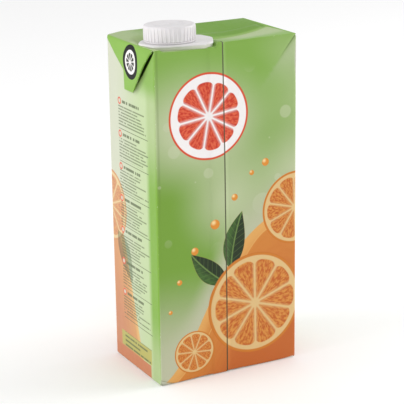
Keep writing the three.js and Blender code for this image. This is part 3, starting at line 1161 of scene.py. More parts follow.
def citrus_slice_group():
    tree, n, given, give = new_group("Citrus slice", SLICE_INPUTS, MOTIF_OUTPUTS)
    x, y, radius = from_centre(n, given)
    angle = n.plus(n.math("ARCTAN2", y, x), given["Turn"])
    part = n.math("FRACT", n.product(angle, SEGMENTS / (2.0 * math.pi)))
    from_middle = n.apart(part, 0.5)
    to_skin = n.product(n.minus(0.5, from_middle), radius, 2.0 * math.pi / SEGMENTS)
    outer = n.minus(given["Flesh Reach"], n.product(n.math("POWER", from_middle, 4.0), SEGMENT_CURVE))
    in_flesh = n.fade(n.minus(outer, radius), *FLESH_EDGE)
    flesh = n.product(n.fade(to_skin, *SKIN), in_flesh, n.fade(radius, *HEART))
    sacs = n.noise(n.join(n.product(angle, SACS_ROUND), n.product(radius, SACS_OUT)), SACS_SCALE, 3.0)
    pulp = n.mix(n.fade(sacs, *SACS_RANGE), given["Flesh Dark"], given["Flesh Light"])
    pulp = n.mix(n.fade(to_skin, *PALE_SKIN), pulp, given["Pith"])
    colour = n.mix(flesh, given["Pith"], pulp)
    colour = n.mix(n.fade(n.minus(radius, given["Rind Start"]), *RIND_EDGE), colour, given["Rind"])
    give("Colour", n.mix(n.fade(radius, *RIM_SHADE), colour, given["Flesh Dark"]))
    give("Mask", n.fade(radius, *SLICE_EDGE))
    return tree


citrus_slice = citrus_slice_group()
print(citrus_slice.name, len(citrus_slice.nodes), "nodes")

# %% [markdown]
# A leaf is the space under a parabola and its mirror image. A lighter midrib and slanting veins make it
# read as a leaf even when it is only a few millimetres long.

# %% Leaf
LEAF_DARK = ink("#1D2E13")
LEAF_LIGHT = ink("#3F6227")
LEAF_VEIN = ink("#6C8A46")
LEAF_INPUTS = {"Place": "place", "Centre": "place", "Length": "value", "Width": "value", "Turn": "value"}
LEAF_BOW = 0.2
LEAF_TAPER = 0.28
LEAF_SHADE = (-0.25, 0.6)
LEAF_MOTTLE = (0.4, 0.7, 0.5)
LEAF_EDGE = (0.0, 0.05)
VEIN_COUNT = 4.5
VEIN_SLANT = 0.35
VEIN_EDGE = (0.42, 0.49, 0.35)
MIDRIB = (0.09, 0.03, 0.8)


def leaf_group():
    tree, n, given, give = new_group("Leaf", LEAF_INPUTS, MOTIF_OUTPUTS)
    away = n.vector("SUBTRACT", given["Place"], given["Centre"])
    turning = {"Vector": away, "Angle": n.product(given["Turn"], -1.0)}
    x, y, _ = n.split(n.add("ShaderNodeVectorRotate", turning, rotation_type="Z_AXIS").outputs[0])
    along = n.over(x, n.product(given["Length"], 0.5))
    across = n.over(y, n.product(given["Width"], 0.5))
    arch = n.minus(1.0, n.product(along, along))
    bow = n.minus(across, n.product(arch, LEAF_BOW))
    off = n.math("ABSOLUTE", bow)
    edge = n.product(n.math("MAXIMUM", arch, 0.0), n.minus(1.0, n.product(along, LEAF_TAPER)))
    vein = n.math("FRACT", n.product(n.minus(along, n.product(off, VEIN_SLANT)), VEIN_COUNT))
    mottle = n.noise(given["Place"], 0.35, 3.0)
    colour = n.mix(n.fade(bow, *LEAF_SHADE), LEAF_DARK, LEAF_LIGHT)
    colour = n.mix(n.fade(mottle, *LEAF_MOTTLE), colour, LEAF_DARK)
    colour = n.mix(n.fade(n.apart(vein, 0.5), *VEIN_EDGE), colour, LEAF_VEIN)
    give("Colour", n.mix(n.fade(off, *MIDRIB), colour, LEAF_VEIN))
    give("Mask", n.fade(n.minus(edge, off), *LEAF_EDGE))
    return tree


leaf = leaf_group()
print(leaf.name, len(leaf.nodes), "nodes")

# %% [markdown]
# A drop of juice is a disc with a bright crescent and a dark rim. Lines of small print are rows of short
# bars of uneven length, as they look from arm's length. White noise gives each row its own length.

# %% Drop and rows of bars
DROP_DEEP = ink("#D98A2E")
DROP_LIGHT = ink("#F3D596")
DROP_RIM = ink("#C0662A")
DROP_LIGHT_LEFT = 0.35
DROP_LIGHT_UP = 0.4
DROP_LIGHT_RANGE = (0.75, 0.05)
DROP_RIM_RANGE = (0.8, 1.0, 0.6)
DROP_EDGE = (1.0, 0.93)
BAR_EDGE = 0.06
BAR_END = 0.2
SHORTEST_SHARE = 0.55
WORDS_ALONG = 0.62
WORDS_DOWN = 5.7
WORD_GAPS = (0.34, 0.39)


def drop_group():
    inputs = {"Place": "place", "Centre": "place", "Radius": "value"}
    tree, n, given, give = new_group("Juice drop", inputs, MOTIF_OUTPUTS)
    x, y, radius = from_centre(n, given)
    to_light = n.length(n.join(n.plus(x, DROP_LIGHT_LEFT), n.minus(y, DROP_LIGHT_UP)))
    colour = n.mix(n.fade(to_light, *DROP_LIGHT_RANGE), DROP_DEEP, DROP_LIGHT)
    give("Colour", n.mix(n.fade(radius, *DROP_RIM_RANGE), colour, DROP_RIM))
    give("Mask", n.fade(radius, *DROP_EDGE))
    return tree


def bar_rows_group():
    inputs = {"Place": "place", "Pitch": "value", "Height Share": "value", "Longest": "value"}
    tree, n, given, give = new_group("Rows of bars", inputs, {"Mask": "value"})
    x, y, _ = n.split(given["Place"])
    step = n.over(y, given["Pitch"])
    row = n.math("FLOOR", step)
    from_middle = n.apart(n.math("FRACT", step), 0.5)
    in_row = n.fade(n.minus(from_middle, n.product(given["Height Share"], 0.5)), BAR_EDGE, -BAR_EDGE)
    chance = n.add("ShaderNodeTexWhiteNoise", {"W": row}, noise_dimensions="1D").outputs["Value"]
    share = n.plus(n.product(chance, 1.0 - SHORTEST_SHARE), SHORTEST_SHARE)
    to_end = n.minus(x, n.product(given["Longest"], share))
    words = n.noise(n.join(n.product(x, WORDS_ALONG), n.product(row, WORDS_DOWN)), 1.0, 1.0)
    in_length = n.product(n.fade(to_end, BAR_END, -BAR_END), n.fade(x, -BAR_END, BAR_END))
    give("Mask", n.product(in_row, n.fade(words, *WORD_GAPS), in_length))
    return tree


juice_drop = drop_group()
bar_rows = bar_rows_group()
print(juice_drop.name, "and", bar_rows.name)

# %% [markdown]
# ## The wrap
# The print runs round the pack without a break, so it is drawn on one long strip: distance along the strip
# and height. The front, or the back, covers the middle of the strip, and the side beyond its right edge
# carries on from there. The field is deep green with a pale glow; the juice is a wave with slices, drops
# and leaves.

# %% Green field
FIELD_TOP = ink("#7EA747")
FIELD_PALE = ink("#C3CAA8")
HALO_PALE = ink("#BABCA0")
GLOWS = ((-19.0, 150.0, 62.0, 44.0, 1.0), (50.0, 160.0, 34.0, 50.0, 0.4), (2.0, 106.0, 40.0, 42.0, 0.75),
         (46.0, 118.0, 44.0, 34.0, 0.7), (34.0, 190.0, 22.0, 16.0, 0.14))
FIELD_RISE = (120.0, 185.0)
PALE_FOOT_DOWN = (72.0, 16.0)
PALE_FOOT_LEFT = (20.0, -24.0, 0.85)
BUBBLE_SCALE = 0.042
BUBBLE_SIZE = 0.3
BUBBLE_EDGE = (0.0, -0.03)
BUBBLES_FROM = (70.0, 110.0)
BUBBLES_TO = (182.0, 168.0, 0.4)


def green_field_group():
    tree, n, given, give = new_group("Green field", {"Place": "place"}, {"Colour": "colour"})
    x, z, _ = n.split(given["Place"])
    colour = n.mix(n.fade(z, *FIELD_RISE), FIELD_DEEP, FIELD_TOP)
    for centre_x, centre_z, reach_x, reach_z, strength in GLOWS:
        across = n.over(n.minus(x, centre_x), reach_x)
        up = n.over(n.minus(z, centre_z), reach_z)
        colour = n.mix(n.fade(n.length(n.join(across, up)), 1.0, 0.0, strength), colour, FIELD_PALE)
    pale_foot = n.product(n.fade(z, *PALE_FOOT_DOWN), n.fade(x, *PALE_FOOT_LEFT))
    colour = n.mix(pale_foot, colour, HALO_PALE)
    cells = {"Vector": given["Place"], "Scale": BUBBLE_SCALE, "Randomness": 1.0}
    bubble = n.add("ShaderNodeTexVoronoi", cells, voronoi_dimensions="2D").outputs
    size = n.product(n.split(bubble["Color"])[0], BUBBLE_SIZE)
    disc = n.fade(n.minus(bubble["Distance"], size), *BUBBLE_EDGE)
    shown = n.product(disc, n.fade(z, *BUBBLES_FROM), n.fade(z, *BUBBLES_TO))
    give("Colour", n.mix(shown, colour, FIELD_PALE))
    return tree


green_field = green_field_group()
print(green_field.name, len(green_field.nodes), "nodes")

# %% [markdown]
# The juice climbs to the right as two waves, one behind the other, with streaks in the nearer one.
# Leaves, slices and drops are then laid over it one by one, and its halo tells the field where to turn pale.

# %% Juice print
WAVE_DEEP = ink("#BE6427")
WAVE_LIGHT = ink("#CC8034")
WAVE_CREST = ink("#DCA45A")
WAVE_HEIGHT = 104.0
WAVE_CLIMB = (-60.0, 40.0, WAVE_HEIGHT)
WAVE_FALL = (46.0, 94.0, -WAVE_HEIGHT)
RIPPLE_LENGTH = 10.5
RIPPLE_HEIGHT = 4.0
BACK_WAVE = (-4.0, 1.7)
NEAR_WAVE = (-16.0, 0.0)
WAVE_EDGE = (0.0, 0.5)
NEAR_WAVE_EDGE = (0.0, 0.4)
CREST_DEPTH = (0.0, 22.0)
CREST_LINE = (1.6, 0.5)
BODY_DEPTH = (6.0, 70.0)
STREAK_ALONG = 0.05
STREAK_DOWN = 0.16
STREAK_DEPTH = 24.0
HALO_REACH = 30.0
SLICES = ((17.0, 40.0, 31.0, 0.3), (44.0, 94.0, 22.0, 0.9), (-23.0, 17.0, 13.0, 0.1))
DROPS = ((-9.0, 92.0, 3.0), (4.0, 106.0, 2.1), (-22.0, 78.0, 2.4), (-32.0, 61.0, 1.7), (15.0, 119.0, 1.6),
         (-38.0, 44.0, 1.3), (24.0, 124.0, 2.4))
LEAVES = ((-13.0, 66.0, 32.0, 13.0, 2.4), (5.0, 80.0, 36.0, 14.0, 1.35))


def juice_print_group():
    tree, n, given, give = new_group("Juice print", {"Place": "place"}, {**MOTIF_OUTPUTS, "Halo": "value"})
    place = given["Place"]
    x, z, _ = n.split(place)

    def wave(rise, shift):
        slope = n.plus(n.fade(x, *WAVE_CLIMB), n.fade(x, *WAVE_FALL))
        ripple = n.product(n.math("SINE", n.plus(n.over(x, RIPPLE_LENGTH), shift)), RIPPLE_HEIGHT)
        return n.minus(n.plus(slope, n.plus(ripple, rise)), z)

    behind = wave(*BACK_WAVE)
    near = wave(*NEAR_WAVE)
    colour = n.mix(n.fade(behind, *CREST_DEPTH), WAVE_CREST, WAVE_LIGHT)
    mask = n.fade(behind, *WAVE_EDGE)
    streak = n.noise(n.join(n.product(x, STREAK_ALONG), n.product(near, STREAK_DOWN)), 2.0, 3.0)
    depth = n.plus(near, n.product(streak, STREAK_DEPTH))
    body = n.mix(n.fade(depth, *BODY_DEPTH), WAVE_LIGHT, WAVE_DEEP)
    body = n.mix(n.fade(near, *CREST_LINE), body, WAVE_CREST)
    colour = n.mix(n.fade(near, *NEAR_WAVE_EDGE), colour, body)

    motifs = []
    for centre_x, centre_z, length, width, turn in LEAVES:
        centre = (centre_x, centre_z, 0.0)
        motifs.append(n.group(leaf, Place=place, Centre=centre, Length=length, Width=width, Turn=turn))
    for centre_x, centre_z, radius, turn in SLICES:
        centre = (centre_x, centre_z, 0.0)
        motifs.append(n.group(citrus_slice, Place=place, Centre=centre, Radius=radius, Turn=turn, **ORANGE))
    for centre_x, centre_z, radius in DROPS:
        motifs.append(n.group(juice_drop, Place=place, Centre=(centre_x, centre_z, 0.0), Radius=radius))
    for motif in motifs:
        colour = n.mix(motif["Mask"], colour, motif["Colour"])
        mask = n.math("MAXIMUM", mask, motif["Mask"])
    give("Colour", colour)
    give("Mask", mask)
    give("Halo", n.fade(behind, -HALO_REACH, 0.0))
    return tree


juice_print = juice_print_group()
print(juice_print.name, len(juice_print.nodes), "nodes")

# %% [markdown]
# ## The board's surface
# Printed board has a thin plastic film over it: smooth, with a fine orange-peel from the fibres below.
# Along the folds the film is stressed and the ink has hairline cracks, where pale board shows.
# Both effects are groups, because every panel uses them.

# %% Film and worn folds
FIBRE_SHARE = 0.35
COCKLE_SHARE = 6.0
FILM_ROUGHNESS = 0.3
ROUGHNESS_SPREAD = 0.18
CRACK_SPECKLE = (0.56, 0.68)
CRACK_PATCH = (0.42, 0.62)
CRACKED_FOLD = (0.72, 1.0, 0.75)


def board_film_group():
    tree, n, given, give = new_group(
        "Board film", {"Place": "place"}, {"Height": "value", "Roughness": "value"},
    )
    fibre = n.noise(given["Place"], 1.6, 4.0)
    cockle = n.noise(given["Place"], 0.06, 2.0)
    smear = n.noise(given["Place"], 0.35, 3.0)
    give("Height", n.plus(n.product(fibre, FIBRE_SHARE), n.product(cockle, COCKLE_SHARE)))
    give("Roughness", n.plus(FILM_ROUGHNESS, n.product(smear, ROUGHNESS_SPREAD)))
    return tree


def worn_fold_group():
    tree, n, given, give = new_group("Worn fold", {"Place": "place", "Fold": "value"}, {"Mask": "value"})
    speckle = n.noise(given["Place"], 0.9, 5.0)
    patch = n.noise(given["Place"], 0.07, 2.0)
    crack = n.product(n.fade(speckle, *CRACK_SPECKLE), n.fade(patch, *CRACK_PATCH))
    give("Mask", n.product(n.fade(given["Fold"], *CRACKED_FOLD), crack))
    return tree


board_film = board_film_group()
worn_fold = worn_fold_group()
print(board_film.name, "and", worn_fold.name)

# %% [markdown]
# Board and plastic end in the same nodes: a fine bump, one surface and the output. One function adds these,
# and each material gives it the colour and whatever else it needs.

# %% Materials
BOARD_PALE = ink("#E9E5D6")
# Pale for rubbed print and for painted light on the tilted facets.
RUBBED_AND_LIT = ink("#B9BDA6")
RUB_AND_LIGHT_SHARE = 0.7
FILM_BUMP = 0.05
PANEL_SHINE = 0.3
TOP_SHINE = 0.1
REFRACTION = 1.5


def empty_tree(material):
    material.use_nodes = True
    material.node_tree.nodes.clear()
    return Nodes(material.node_tree)


def add_surface(material, n, skin, bump, inputs):
    """Adds the bump and roughness of a skin group, the surface and the output."""
    bump_inputs = {"Height": skin["Height"], "Strength": bump, "Distance": MM}
    normal = n.add("ShaderNodeBump", bump_inputs).outputs["Normal"]
    inputs = {"Roughness": skin["Roughness"], "Normal": normal, "IOR": REFRACTION, **inputs}
    surface = n.add("ShaderNodeBsdfPrincipled", inputs)
    n.add("ShaderNodeOutputMaterial", {"Surface": surface.outputs[0]})
    print(material.name, len(material.node_tree.nodes), "nodes")


def printed_board(name, paint, shine):
    """Material of one panel: paint(nodes, place) gives the print's colour from a place in millimetres."""
    material = bpy.data.materials.new(name)
    n = empty_tree(material)
    place = n.place()
    worn = n.group(worn_fold, Place=place, Fold=n.attribute(FOLD))["Mask"]
    # Rubbed print and painted light: the struck corner and the facet below the crease are painted paler.
    colour = n.mix(n.product(n.attribute(RUB_AND_LIGHT), RUB_AND_LIGHT_SHARE), paint(n, place), RUBBED_AND_LIT)
    add_surface(material, n, n.group(board_film, Place=place), FILM_BUMP, {
        "Base Color": n.mix(worn, colour, BOARD_PALE), "Specular IOR Level": shine,
    })
    return material


print("rubbed print is", RUB_AND_LIGHT_SHARE, "pale")

# %% [markdown]
# ## Front and back
# Both large panels carry the same picture, so one material serves both: for the back, the distance across is
# counted from the other side. Over the field lie a large pale slice of blood orange and, below it, the juice.
# The seam shows as a thin dark line: the cut edge of the lap, in its own shade. Painted shade darkens a
# hairline in the top right crease, a line beside the left upright fold and the edge of the struck corner's
# facet, and painted light pales that facet.

# %% Front print
PALE_SLICE = {"Centre": (-12.0, 155.0, 0.0), "Radius": 25.0, "Turn": 0.5, **BLOOD_ORANGE}
HALO_SHARE = 0.9
SEAM_INK = ink("#39391A")
SEAM_LINE = 0.7
TOP_SEAM_LINE = 1.2
FRONT_HALF = (-0.5, -1.0, 0.92)
# Painted shade for creases and folds: the crease hairline, the line beside the left upright fold, the line
# along the struck facet's edge and the wall beside the ear's tip.
CREASE_SHADE_PAINT = ink("#4E5A30")
CREASE_LINE = (0.6, 0.2, 0.55)
CREASE_DOWN = (15.0, 3.0)
FOLD_LINE_X = -43.3
FOLD_LINE = (0.9, 0.2, 0.2)
FOLD_LINE_UP = (90.0, 130.0)
# Painted light: the struck corner's tilted facet is painted paler.
PAINTED_FACET_LIGHT = ink("#D3D7C6")
STRUCK_FACET = (1.0, 0.85, 0.7)
STRUCK_LINE_PLACE = 1.05
STRUCK_LINE = (0.16, 0.04, 0.4)


def seam_mask(n, x, y, z, width):
    """Thin line along the seam, on the front half of the pack alone."""
    line = n.plus(SEAM_FOOT_X, n.product(z, (SEAM_HEAD_X - SEAM_FOOT_X) / HEIGHT))
    return n.product(n.fade(n.apart(x, line), width, width / 2), n.fade(y, *FRONT_HALF))


def crease_mask(n, along, z):
    """Painted shade: a dark hairline in the crease at a panel's top right corner."""
    from_right = n.minus(HALF_WIDTH, along)
    from_top = n.minus(HEIGHT, z)
    skew = n.apart(n.product(from_top, CREASE_REACH.x), n.product(from_right, CREASE_REACH.y))
    miss = n.over(skew, CREASE_REACH.length)
    return n.product(n.fade(miss, *CREASE_LINE), n.fade(from_top, *CREASE_DOWN))


def paint_front(n, place):
    x, y, z = n.split(place)
    along = n.product(x, n.math("SIGN", y), -1.0)
    strip = n.join(along, z)
    juice = n.group(juice_print, Place=strip)
    pale_slice = n.group(citrus_slice, Place=strip, **PALE_SLICE)
    colour = n.group(green_field, Place=strip)["Colour"]
    colour = n.mix(n.product(juice["Halo"], HALO_SHARE), colour, HALO_PALE)
    colour = n.mix(pale_slice["Mask"], colour, pale_slice["Colour"])
    colour = n.mix(juice["Mask"], colour, juice["Colour"])
    # Painted shade in the crease at the top right corner.
    colour = n.mix(crease_mask(n, along, z), colour, CREASE_SHADE_PAINT)
    # Painted shade along the upper part of the left upright fold.
    painted_fold_shade = n.fade(n.apart(along, FOLD_LINE_X), *FOLD_LINE)
    colour = n.mix(n.product(painted_fold_shade, n.fade(z, *FOLD_LINE_UP)), colour, CREASE_SHADE_PAINT)
    struck = n.plus(n.over(n.plus(along, HALF_WIDTH), DENT_LENGTH), n.over(z, DENT_HEIGHT))
    # Painted light on the struck corner's facet.
    colour = n.mix(n.fade(struck, *STRUCK_FACET), colour, PAINTED_FACET_LIGHT)
    # Painted shade along the upper edge of the struck corner's facet.
    colour = n.mix(n.fade(n.apart(struck, STRUCK_LINE_PLACE), *STRUCK_LINE), colour, CREASE_SHADE_PAINT)
    return n.mix(seam_mask(n, x, y, z, SEAM_LINE), colour, SEAM_INK)


front_material = printed_board("front_print", paint_front, PANEL_SHINE)

# %% [markdown]
# ## Sides
# A side is an information panel: blocks of small print, each with a red spot and a bolder first row, parted
# by thin rules. The juice from the panel beside it runs in at one edge, where the strip's distance carries
# on, and the green field at the other.

# %% Side print
SIDE_PALE = ink("#C2C6B1")
SIDE_TINT = ink("#B4C696")
STRIP_GREEN = ink("#78A439")
STRIP_LIT_FOOT = (46.0, 8.0)
STRIP_LIT_FROM = (112.0, 150.0)
STRIP_LIT_TO = (182.0, 168.0)
STRIP_LIT_SHARE = 0.5
TINT_RANGE = (-24.0, 20.0)
STRIP_EDGE = (17.0, 22.5)
GREEN_HEAD_UP = (164.0, 177.0)
GREEN_HEAD_ACROSS = (-4.0, 10.0)
GREEN_RIM = (192.0, 194.0)
SIDE_JUICE_SHARE = 0.8
SIDE_LEAF = {"Centre": (-13.0, 66.0, 0.0), "Length": 34.0, "Width": 15.0, "Turn": -1.0}
SIDE_LEAF_SHARE = 0.55


def side_field(n, across, z):
    """Pale panel with a green strip and the juice at its edges, and green below the top."""
    strip = n.mix(n.fade(z, *FIELD_RISE), STRIP_GREEN, FIELD_TOP)
    lit_head = n.product(n.fade(z, *STRIP_LIT_FROM), n.fade(z, *STRIP_LIT_TO))
    lit = n.math("MAXIMUM", n.fade(z, *STRIP_LIT_FOOT), lit_head)
    strip = n.mix(n.product(lit, STRIP_LIT_SHARE), strip, FIELD_PALE)
    juice = n.group(juice_print, Place=n.join(n.plus(across, HALF_WIDTH + HALF_DEPTH), z))
    sprig = n.group(leaf, Place=n.join(across, z), **SIDE_LEAF)
    green_head = n.product(n.fade(z, *GREEN_HEAD_UP), n.fade(across, *GREEN_HEAD_ACROSS))
    colour = n.mix(n.fade(across, *TINT_RANGE), SIDE_PALE, SIDE_TINT)
    colour = n.mix(n.fade(across, *STRIP_EDGE), colour, strip)
    colour = n.mix(green_head, colour, FIELD_TOP)
    colour = n.mix(n.product(juice["Mask"], SIDE_JUICE_SHARE), colour, juice["Colour"])
    colour = n.mix(n.product(sprig["Mask"], SIDE_LEAF_SHARE), colour, sprig["Colour"])
    return n.mix(n.fade(z, *GREEN_RIM), colour, FIELD_TOP)


print("side leaf", SIDE_LEAF["Length"], "mm long")

# %% [markdown]
# Behind the ear's front slant the wall is in shade, and that shade is painted into the print. It is darkest
# high up, where the slit is widest, and a weaker painted shade lies on the wall beside the ear's tip.

# %% Shade round the ear
# Painted shade: this dark colour stands for the shadow inside the slit.
POCKET_SHADE_PAINT = ink("#141C0B")
EAR_SLOPE = (HALF_DEPTH + EAR_TIP_FRONT) / EAR_DROP
EAR_TIP_Z = HEIGHT - EAR_DROP
TIP_SHADE_TOP = 171.0
POCKET_MOUTH = (-0.2, 1.0)
POCKET_END = (9.0, 5.0)
POCKET_SHADE_UP = (173.0, 187.0, 0.7)
POCKET_LEAST_SHADE = 0.15
BESIDE_TIP = (-7.0, -0.5, 0.75)
TIP_SHADE_FOOT = EAR_TIP_Z - 2.0
TIP_SHADE_FADE = (188.0, 177.0)


def ear_shade(n, colour, y, z):
    """Paints shade into the slit behind the ear's front slant and onto the wall beside the ear's tip."""
    slant = n.plus(-HALF_DEPTH, n.product(n.minus(HEIGHT, z), EAR_SLOPE))
    inside = n.minus(y, slant)
    before_end = n.fade(inside, *POCKET_END)
    pocket = n.product(n.fade(inside, *POCKET_MOUTH), before_end, n.fade(z, EAR_TIP_Z, TIP_SHADE_TOP))
    shade = n.plus(POCKET_LEAST_SHADE, n.fade(z, *POCKET_SHADE_UP))
    # Painted shade in the slit, darker higher up.
    colour = n.mix(n.product(pocket, shade), colour, POCKET_SHADE_PAINT)
    # Painted shade on the wall beside the ear's tip.
    at_tip = n.product(n.fade(z, TIP_SHADE_FOOT, TIP_SHADE_TOP), n.fade(z, *TIP_SHADE_FADE))
    beside_tip = n.product(n.fade(inside, *BESIDE_TIP), before_end, at_tip)
    return n.mix(beside_tip, colour, CREASE_SHADE_PAINT)


print("ear tip at", EAR_TIP_Z, "mm")

# %% [markdown]
# The blocks repeat up the panel. The height above a block's foot is a remainder of the height on the panel,
# so the same rows, title, rule and ring are drawn in all of them.

# %% Blocks of small print
SIDE_INK = ink("#4C5A34")
SIDE_RED = ink("#D1553A")
BLOCK_FOOT = 27.2
BLOCK_TOP = 161.6
BLOCK_PITCH = 19.2
BLOCK_SHIFT = 0.37
TEXT_LEFT = -16.5
TEXT_LENGTH = 37.5
TEXT_EDGE = 0.3
SMALL_PRINT = {"Pitch": 1.75, "Height_Share": 0.46, "Longest": TEXT_LENGTH}
SMALL_FROM = (1.9, 2.3)
SMALL_TO = (14.9, 14.5, 0.7)
TITLE_RISE = 16.9
TITLE_EDGE = (0.95, 0.7)
TITLE_FROM = (5.0, 5.3)
TITLE_TO = (27.0, 26.7)
TITLE_GAPS = (0.36, 0.42)
RULE_RISE = 0.8
RULE_EDGE = (0.28, 0.14)
BOLD_SHARE = 0.85
SPOT_LEFT = 1.6
SPOT_RADIUS = 1.7
SPOT_EDGE = (1.7, 1.5)
SPOT_RING = (0.55, 0.35)


def text_blocks(n, colour, left, z):
    """Lays blocks of bars, rules and red rings over a colour."""
    in_panel = n.product(
        n.fade(z, BLOCK_FOOT - TEXT_EDGE, BLOCK_FOOT), n.fade(z, BLOCK_TOP + TEXT_EDGE, BLOCK_TOP),
    )
    blocks_up = n.over(n.minus(z, BLOCK_FOOT), BLOCK_PITCH)
    block = n.math("FLOOR", blocks_up)
    rise = n.product(n.math("FRACT", blocks_up), BLOCK_PITCH)
    shifted = n.join(left, n.plus(z, n.product(block, BLOCK_SHIFT)))
    small = n.group(bar_rows, Place=shifted, **SMALL_PRINT)["Mask"]
    small = n.product(small, n.fade(rise, *SMALL_TO), n.fade(rise, *SMALL_FROM), in_panel)
    title = n.product(n.fade(n.apart(rise, TITLE_RISE), *TITLE_EDGE), n.fade(left, *TITLE_FROM))
    title = n.product(title, n.fade(left, *TITLE_TO), in_panel)
    title = n.product(title, n.fade(n.noise(n.join(left, block), 0.55, 1.0), *TITLE_GAPS))
    rule = n.product(n.fade(n.apart(rise, RULE_RISE), *RULE_EDGE), n.fade(left, 0.0, TEXT_EDGE))
    rule = n.product(rule, n.fade(left, TEXT_LENGTH, TEXT_LENGTH - TEXT_EDGE), in_panel)
    spot = n.length(n.join(n.minus(left, SPOT_LEFT), n.minus(rise, TITLE_RISE)))
    ring = n.fade(n.apart(spot, SPOT_RADIUS), *SPOT_RING)
    colour = n.mix(small, colour, SIDE_INK)
    colour = n.mix(n.product(n.math("MAXIMUM", title, rule), BOLD_SHARE), colour, SIDE_INK)
    colour = n.mix(n.product(n.fade(spot, *SPOT_EDGE), in_panel), colour, SIDE_PALE)
    return n.mix(n.product(ring, in_panel), colour, SIDE_RED)


print("blocks of small print", round((BLOCK_TOP - BLOCK_FOOT) / BLOCK_PITCH))

# %% [markdown]
# Two bands close the panel at its foot, an olive one with rows of bars and a red one below it.
# The layers of the side are then put together: field, shade, blocks and bands.

# %% Bands and the whole side
BAND_OLIVE = ink("#AEA95A")
BAND_RED = ink("#BC7650")
BAND_PRINT = {"Pitch": 2.9, "Height_Share": 0.42, "Longest": TEXT_LENGTH}
BAND_PRINT_SHARE = 0.8
OLIVE_LEFT = (-21.0, -20.7)
OLIVE_RIGHT = (19.0, 18.7)
OLIVE_FOOT = (9.0, 9.3)
OLIVE_TOP = (18.7, 18.4)
RED_RIGHT = (18.0, 17.7)
RED_TOP = (8.8, 8.5)


def foot_bands(n, colour, across, left, z):
    """Lays the olive band, with its bars, and the red band over a colour."""
    in_width = n.product(n.fade(across, *OLIVE_LEFT), n.fade(across, *OLIVE_RIGHT))
    olive = n.product(in_width, n.fade(z, *OLIVE_FOOT), n.fade(z, *OLIVE_TOP))
    red = n.product(n.fade(across, *RED_RIGHT), n.fade(z, *RED_TOP))
    rows = n.group(bar_rows, Place=n.join(left, z), **BAND_PRINT)["Mask"]
    colour = n.mix(olive, colour, BAND_OLIVE)
    colour = n.mix(n.product(olive, rows, BAND_PRINT_SHARE), colour, SIDE_INK)
    return n.mix(red, colour, BAND_RED)


def paint_side(n, place):
    x, y, z = n.split(place)
    across = n.product(y, n.math("SIGN", x))
    left = n.minus(across, TEXT_LEFT)
    colour = ear_shade(n, side_field(n, across, z), y, z)
    return foot_bands(n, text_blocks(n, colour, left, z), across, left, z)


side_material = printed_board("side_print", paint_side, PANEL_SHINE)

# %% [markdown]
# ## Top, ears and base
# The ears are plain green. So is the top, apart from painted light: painted shade darkens it behind the fin's
# root, a painted sheen pales a band in front of the root on the right, and a painted highlight pales its left
# end. Each ear has one small dark citrus wheel.
# The base is left pale, with three spots of the inks used at each end, as printers leave them.

# %% Top, ear and base prints
TOP_INKS = (ink("#8DB45B"), ink("#86AF50"))
# Painted shade behind the fin, a painted sheen in front of it on the right, and a painted highlight at the
# left end.
TOP_BACK_SHADE = ink("#6D9833")
TOP_BACK_SHADE_EDGE = (-1.0, 3.0)
TOP_SHEEN_FROM = (-27.0, -13.0)
TOP_SHEEN_TO = (1.5, -3.0)
TOP_SHEEN_RIGHT = (-4.0, 20.0, 0.6)
TOP_HIGHLIGHT_LEFT = (-16.0, -40.0, 0.5)
EAR_INKS = (ink("#82AC4D"), ink("#84AE4F"))
EAR_WHEEL = {"Centre": (-2.9, 184.4, 0.0), "Radius": 9.8, "Turn": 0.2, **DARK_WHEEL}
BASE_INKS = (BOARD_PALE, ink("#DCD9C6"))
INK_SPOTS = ((-6.0, FIELD_DEEP), (0.0, WAVE_DEEP), (6.0, SEAM_INK))
INK_SPOT_X = 33.0
INK_SPOT_EDGE = (2.0, 1.8)
MOTTLE = (0.35, 0.7)


def mottled(n, place, inks, scale, detail):
    """Two close inks in soft patches."""
    return n.mix(n.fade(n.noise(place, scale, detail), *MOTTLE), *inks)


def paint_top(n, place):
    x, y, z = n.split(place)
    colour = mottled(n, place, TOP_INKS, scale=0.05, detail=2.0)
    # Painted shade on the top behind the fin's root.
    colour = n.mix(n.fade(y, *TOP_BACK_SHADE_EDGE), colour, TOP_BACK_SHADE)
    # Painted sheen in a band before the fin's root on the right, and a painted highlight towards the left
    # end.
    pale = n.product(n.fade(y, *TOP_SHEEN_FROM), n.fade(y, *TOP_SHEEN_TO), n.fade(x, *TOP_SHEEN_RIGHT))
    colour = n.mix(n.math("MAXIMUM", pale, n.fade(x, *TOP_HIGHLIGHT_LEFT)), colour, FIELD_PALE)
    return n.mix(seam_mask(n, x, y, z, TOP_SEAM_LINE), colour, SEAM_INK)


def paint_ear(n, place):
    _, y, z = n.split(place)
    wheel = n.group(citrus_slice, Place=n.join(y, z), **EAR_WHEEL)
    colour = mottled(n, place, EAR_INKS, scale=0.05, detail=2.0)
    return n.mix(wheel["Mask"], colour, wheel["Colour"])


def paint_base(n, place):
    x, y, _ = n.split(place)
    from_spots = n.minus(n.math("ABSOLUTE", x), INK_SPOT_X)
    colour = mottled(n, place, BASE_INKS, scale=0.08, detail=3.0)
    for spot_y, spot_ink in INK_SPOTS:
        miss = n.length(n.join(from_spots, n.minus(y, spot_y)))
        colour = n.mix(n.fade(miss, *INK_SPOT_EDGE), colour, spot_ink)
    return colour


top_material = printed_board("top_print", paint_top, TOP_SHINE)
ear_material = printed_board("ear_print", paint_ear, TOP_SHINE)
base_material = printed_board("base_print", paint_base, PANEL_SHINE)

for panel_material in (front_material, side_material, top_material, base_material):
    carton.data.materials.append(panel_material)
for ear in (left_ear, right_ear):
    ear.data.materials.append(ear_material)
top_fin.data.materials.append(top_material)
for fold_piece in base_folds:
    fold_piece.data.materials.append(base_material)

